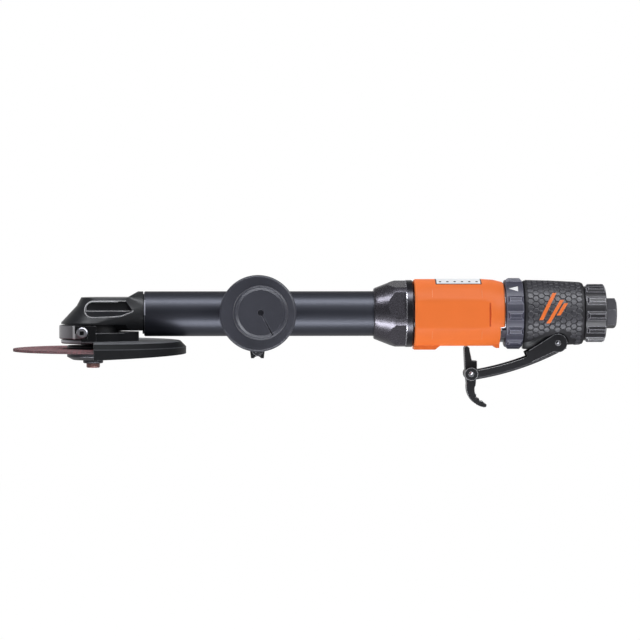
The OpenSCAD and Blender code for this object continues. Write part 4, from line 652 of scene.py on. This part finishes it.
def housing_label():
    inner = (LABEL_X[0] + LABEL_FRAME, LABEL_X[1] - LABEL_FRAME)
    inner_angle = (LABEL_ANGLE[0] + LABEL_FRAME_ANGLE, LABEL_ANGLE[1] - LABEL_FRAME_ANGLE)
    label_plate("label_frame", LABEL_X, LABEL_ANGLE, 1, "ink")
    label_plate("label_plate", inner, inner_angle, 2, "label")
    step = (inner[1] - inner[0]) / TICKS
    for side, mirror in (("near", False), ("far", True)):
        angles = tuple(180.0 - a for a in reversed(TICK_ANGLE)) if mirror else TICK_ANGLE
        for number in range(TICKS):
            start = inner[0] + (number + 0.5 * (1.0 - TICK_SHARE)) * step
            label_plate(f"label_tick_{side}_{number}", (start, start + TICK_SHARE * step), angles, 3, "ink")


housing_label()


# Studio: floor, light and camera, in metres

FLOOR_Z = -0.42
FLOOR_HALF = 4.0
FLOOR_CLOUD = 0.4
FLOOR_TONES = (srgb(243, 243, 243), srgb(247, 247, 247))
FLOOR_ROUGH = 0.9
# Glow of the floor for the camera and for gloss, and the share that it has beside the floor's own shade
FLOOR_GLOW = 1.03
FLOOR_GLOSS = 0.5
FLOOR_SHARE = 0.95
WORLD_DIFFUSE = 0.46
# The backdrop is white up to one height of its rays and dim above the other
BACKDROP_HEIGHTS = (0.16, 0.62)
BACKDROP_TOP = 0.22
# Gloss sees the room dim on the camera's side and white on the backdrop's, between two headings along Y
ROOM_TURN = (-0.35, 0.35)
ROOM_DIM = 0.2
LAMP_COLOUR = (0.95, 0.97, 1.0)
CAMERA_AIM = Vector((-0.1892, 0.0, -0.0041))
CAMERA_DISTANCE = 2.2
CAMERA_AZIMUTH = math.radians(-2.0)
CAMERA_ELEVATION = math.radians(1.9)
CAMERA_LENS = 194.0
CAMERA_CLIP = 50.0


def ray_kinds(tree):
    """1 for rays from the camera, and 1 for those by way of gloss or glass."""
    path = tree.add("ShaderNodeLightPath").outputs
    return path["Is Camera Ray"], tree.math("MAXIMUM", path["Is Glossy Ray"], path["Is Transmission Ray"])


class WorldTree(Tree):
    """The same shorthand for the world."""

    def __init__(self, world):
        world.use_nodes = True
        self.nodes = world.node_tree.nodes
        self.links = world.node_tree.links
        self.shader = self.nodes["Background"]


def backdrop():
    scene.world = bpy.data.worlds.new("studio")
    tree = WorldTree(scene.world)
    direction = tree.add("ShaderNodeTexCoord").outputs["Generated"]
    heading = tree.add("ShaderNodeSeparateXYZ", {"Vector": direction}).outputs
    sweep = tree.span(heading["Z"], 1.0, BACKDROP_TOP, *BACKDROP_HEIGHTS)
    room = tree.math("MULTIPLY", sweep, tree.span(heading["Y"], ROOM_DIM, 1.0, *ROOM_TURN))
    camera_ray, gloss_ray = ray_kinds(tree)
    strength = tree.span(camera_ray, WORLD_DIFFUSE, sweep, 0.0, 1.0)
    strength = tree.span(gloss_ray, strength, room, 0.0, 1.0)
    tree.feed(tree.shader.inputs["Strength"], strength)
    tree.feed(tree.shader.inputs["Color"], WHITE)


def ground():
    mesh = bpy.data.meshes.new("floor")
    mesh.from_pydata([(-FLOOR_HALF, -FLOOR_HALF, FLOOR_Z), (FLOOR_HALF, -FLOOR_HALF, FLOOR_Z),
                      (FLOOR_HALF, FLOOR_HALF, FLOOR_Z), (-FLOOR_HALF, FLOOR_HALF, FLOOR_Z)], [], [(0, 1, 2, 3)])
    floor = bpy.data.objects.new("floor", mesh)
    scene.collection.objects.link(floor)
    paint = Tree("floor_pale")
    mesh.materials.append(paint.material)
    paint.feed(paint.shader.inputs["Base Color"], paint.mix(paint.noise(FLOOR_CLOUD), *FLOOR_TONES))
    paint.feed(paint.shader.inputs["Roughness"], FLOOR_ROUGH)
    camera_ray, gloss_ray = ray_kinds(paint)
    strength = paint.span(gloss_ray, FLOOR_GLOW, FLOOR_GLOSS, 0.0, 1.0)
    glow = paint.add("ShaderNodeEmission", {"Color": WHITE, "Strength": strength})
    share = paint.math("MULTIPLY", paint.math("MAXIMUM", camera_ray, gloss_ray), FLOOR_SHARE)
    blend = paint.add("ShaderNodeMixShader", {"Fac": share})
    paint.links.new(paint.shader.outputs[0], blend.inputs[1])
    paint.links.new(glow.outputs[0], blend.inputs[2])
    paint.links.new(blend.outputs[0], paint.nodes["Material Output"].inputs["Surface"])


def outward(azimuth, elevation):
    """Direction from the tool, turned from the near side and raised from the level."""
    return Vector((math.sin(azimuth) * math.cos(elevation), -math.cos(azimuth) * math.cos(elevation),
                   math.sin(elevation)))


def strip(name, angle, distance, length, width, power, azimuth=0.0, diffuse=True, glossy=True):
    """Softbox along the tool, at an angle above the level in front of it, aimed at it."""
    data = bpy.data.lights.new(name, "AREA")
    data.shape = "RECTANGLE"
    data.color = LAMP_COLOUR
    data.size, data.size_y = length, width
    data.energy = power
    lamp = bpy.data.objects.new(name, data)
    scene.collection.objects.link(lamp)
    out = outward(math.radians(azimuth), math.radians(angle))
    lamp.location = CAMERA_AIM + out * distance
    lamp.rotation_euler = out.to_track_quat("Z", "Y").to_euler()
    lamp.visible_camera = False
    lamp.visible_diffuse = diffuse
    lamp.visible_glossy = glossy


def lamps():
    strip("key", angle=66, distance=0.9, length=1.2, width=0.3, power=19.0, diffuse=False)
    strip("low", angle=-46, distance=0.4, length=0.9, width=0.13, power=6.5, diffuse=False)
    strip("side", angle=32, distance=0.9, length=0.4, width=0.4, power=14.0, azimuth=52, diffuse=False)
    strip("fill", angle=62, distance=1.2, length=1.2, width=0.5, power=8.0, glossy=False)
    strip("fill_low", angle=-58, distance=0.4, length=1.2, width=0.3, power=1.3, glossy=False)
    strip("back", angle=45, distance=1.2, length=1.2, width=0.5, power=6.0, azimuth=180, glossy=False)


def camera():
    data = bpy.data.cameras.new("camera")
    data.lens = CAMERA_LENS
    data.clip_end = CAMERA_CLIP
    view = bpy.data.objects.new("camera", data)
    scene.collection.objects.link(view)
    out = outward(CAMERA_AZIMUTH, CAMERA_ELEVATION)
    view.location = CAMERA_AIM + out * CAMERA_DISTANCE
    view.rotation_euler = (-out).to_track_quat("-Z", "Y").to_euler()
    scene.camera = view


backdrop()
ground()
lamps()
camera()
scene.view_settings.view_transform = "Standard"
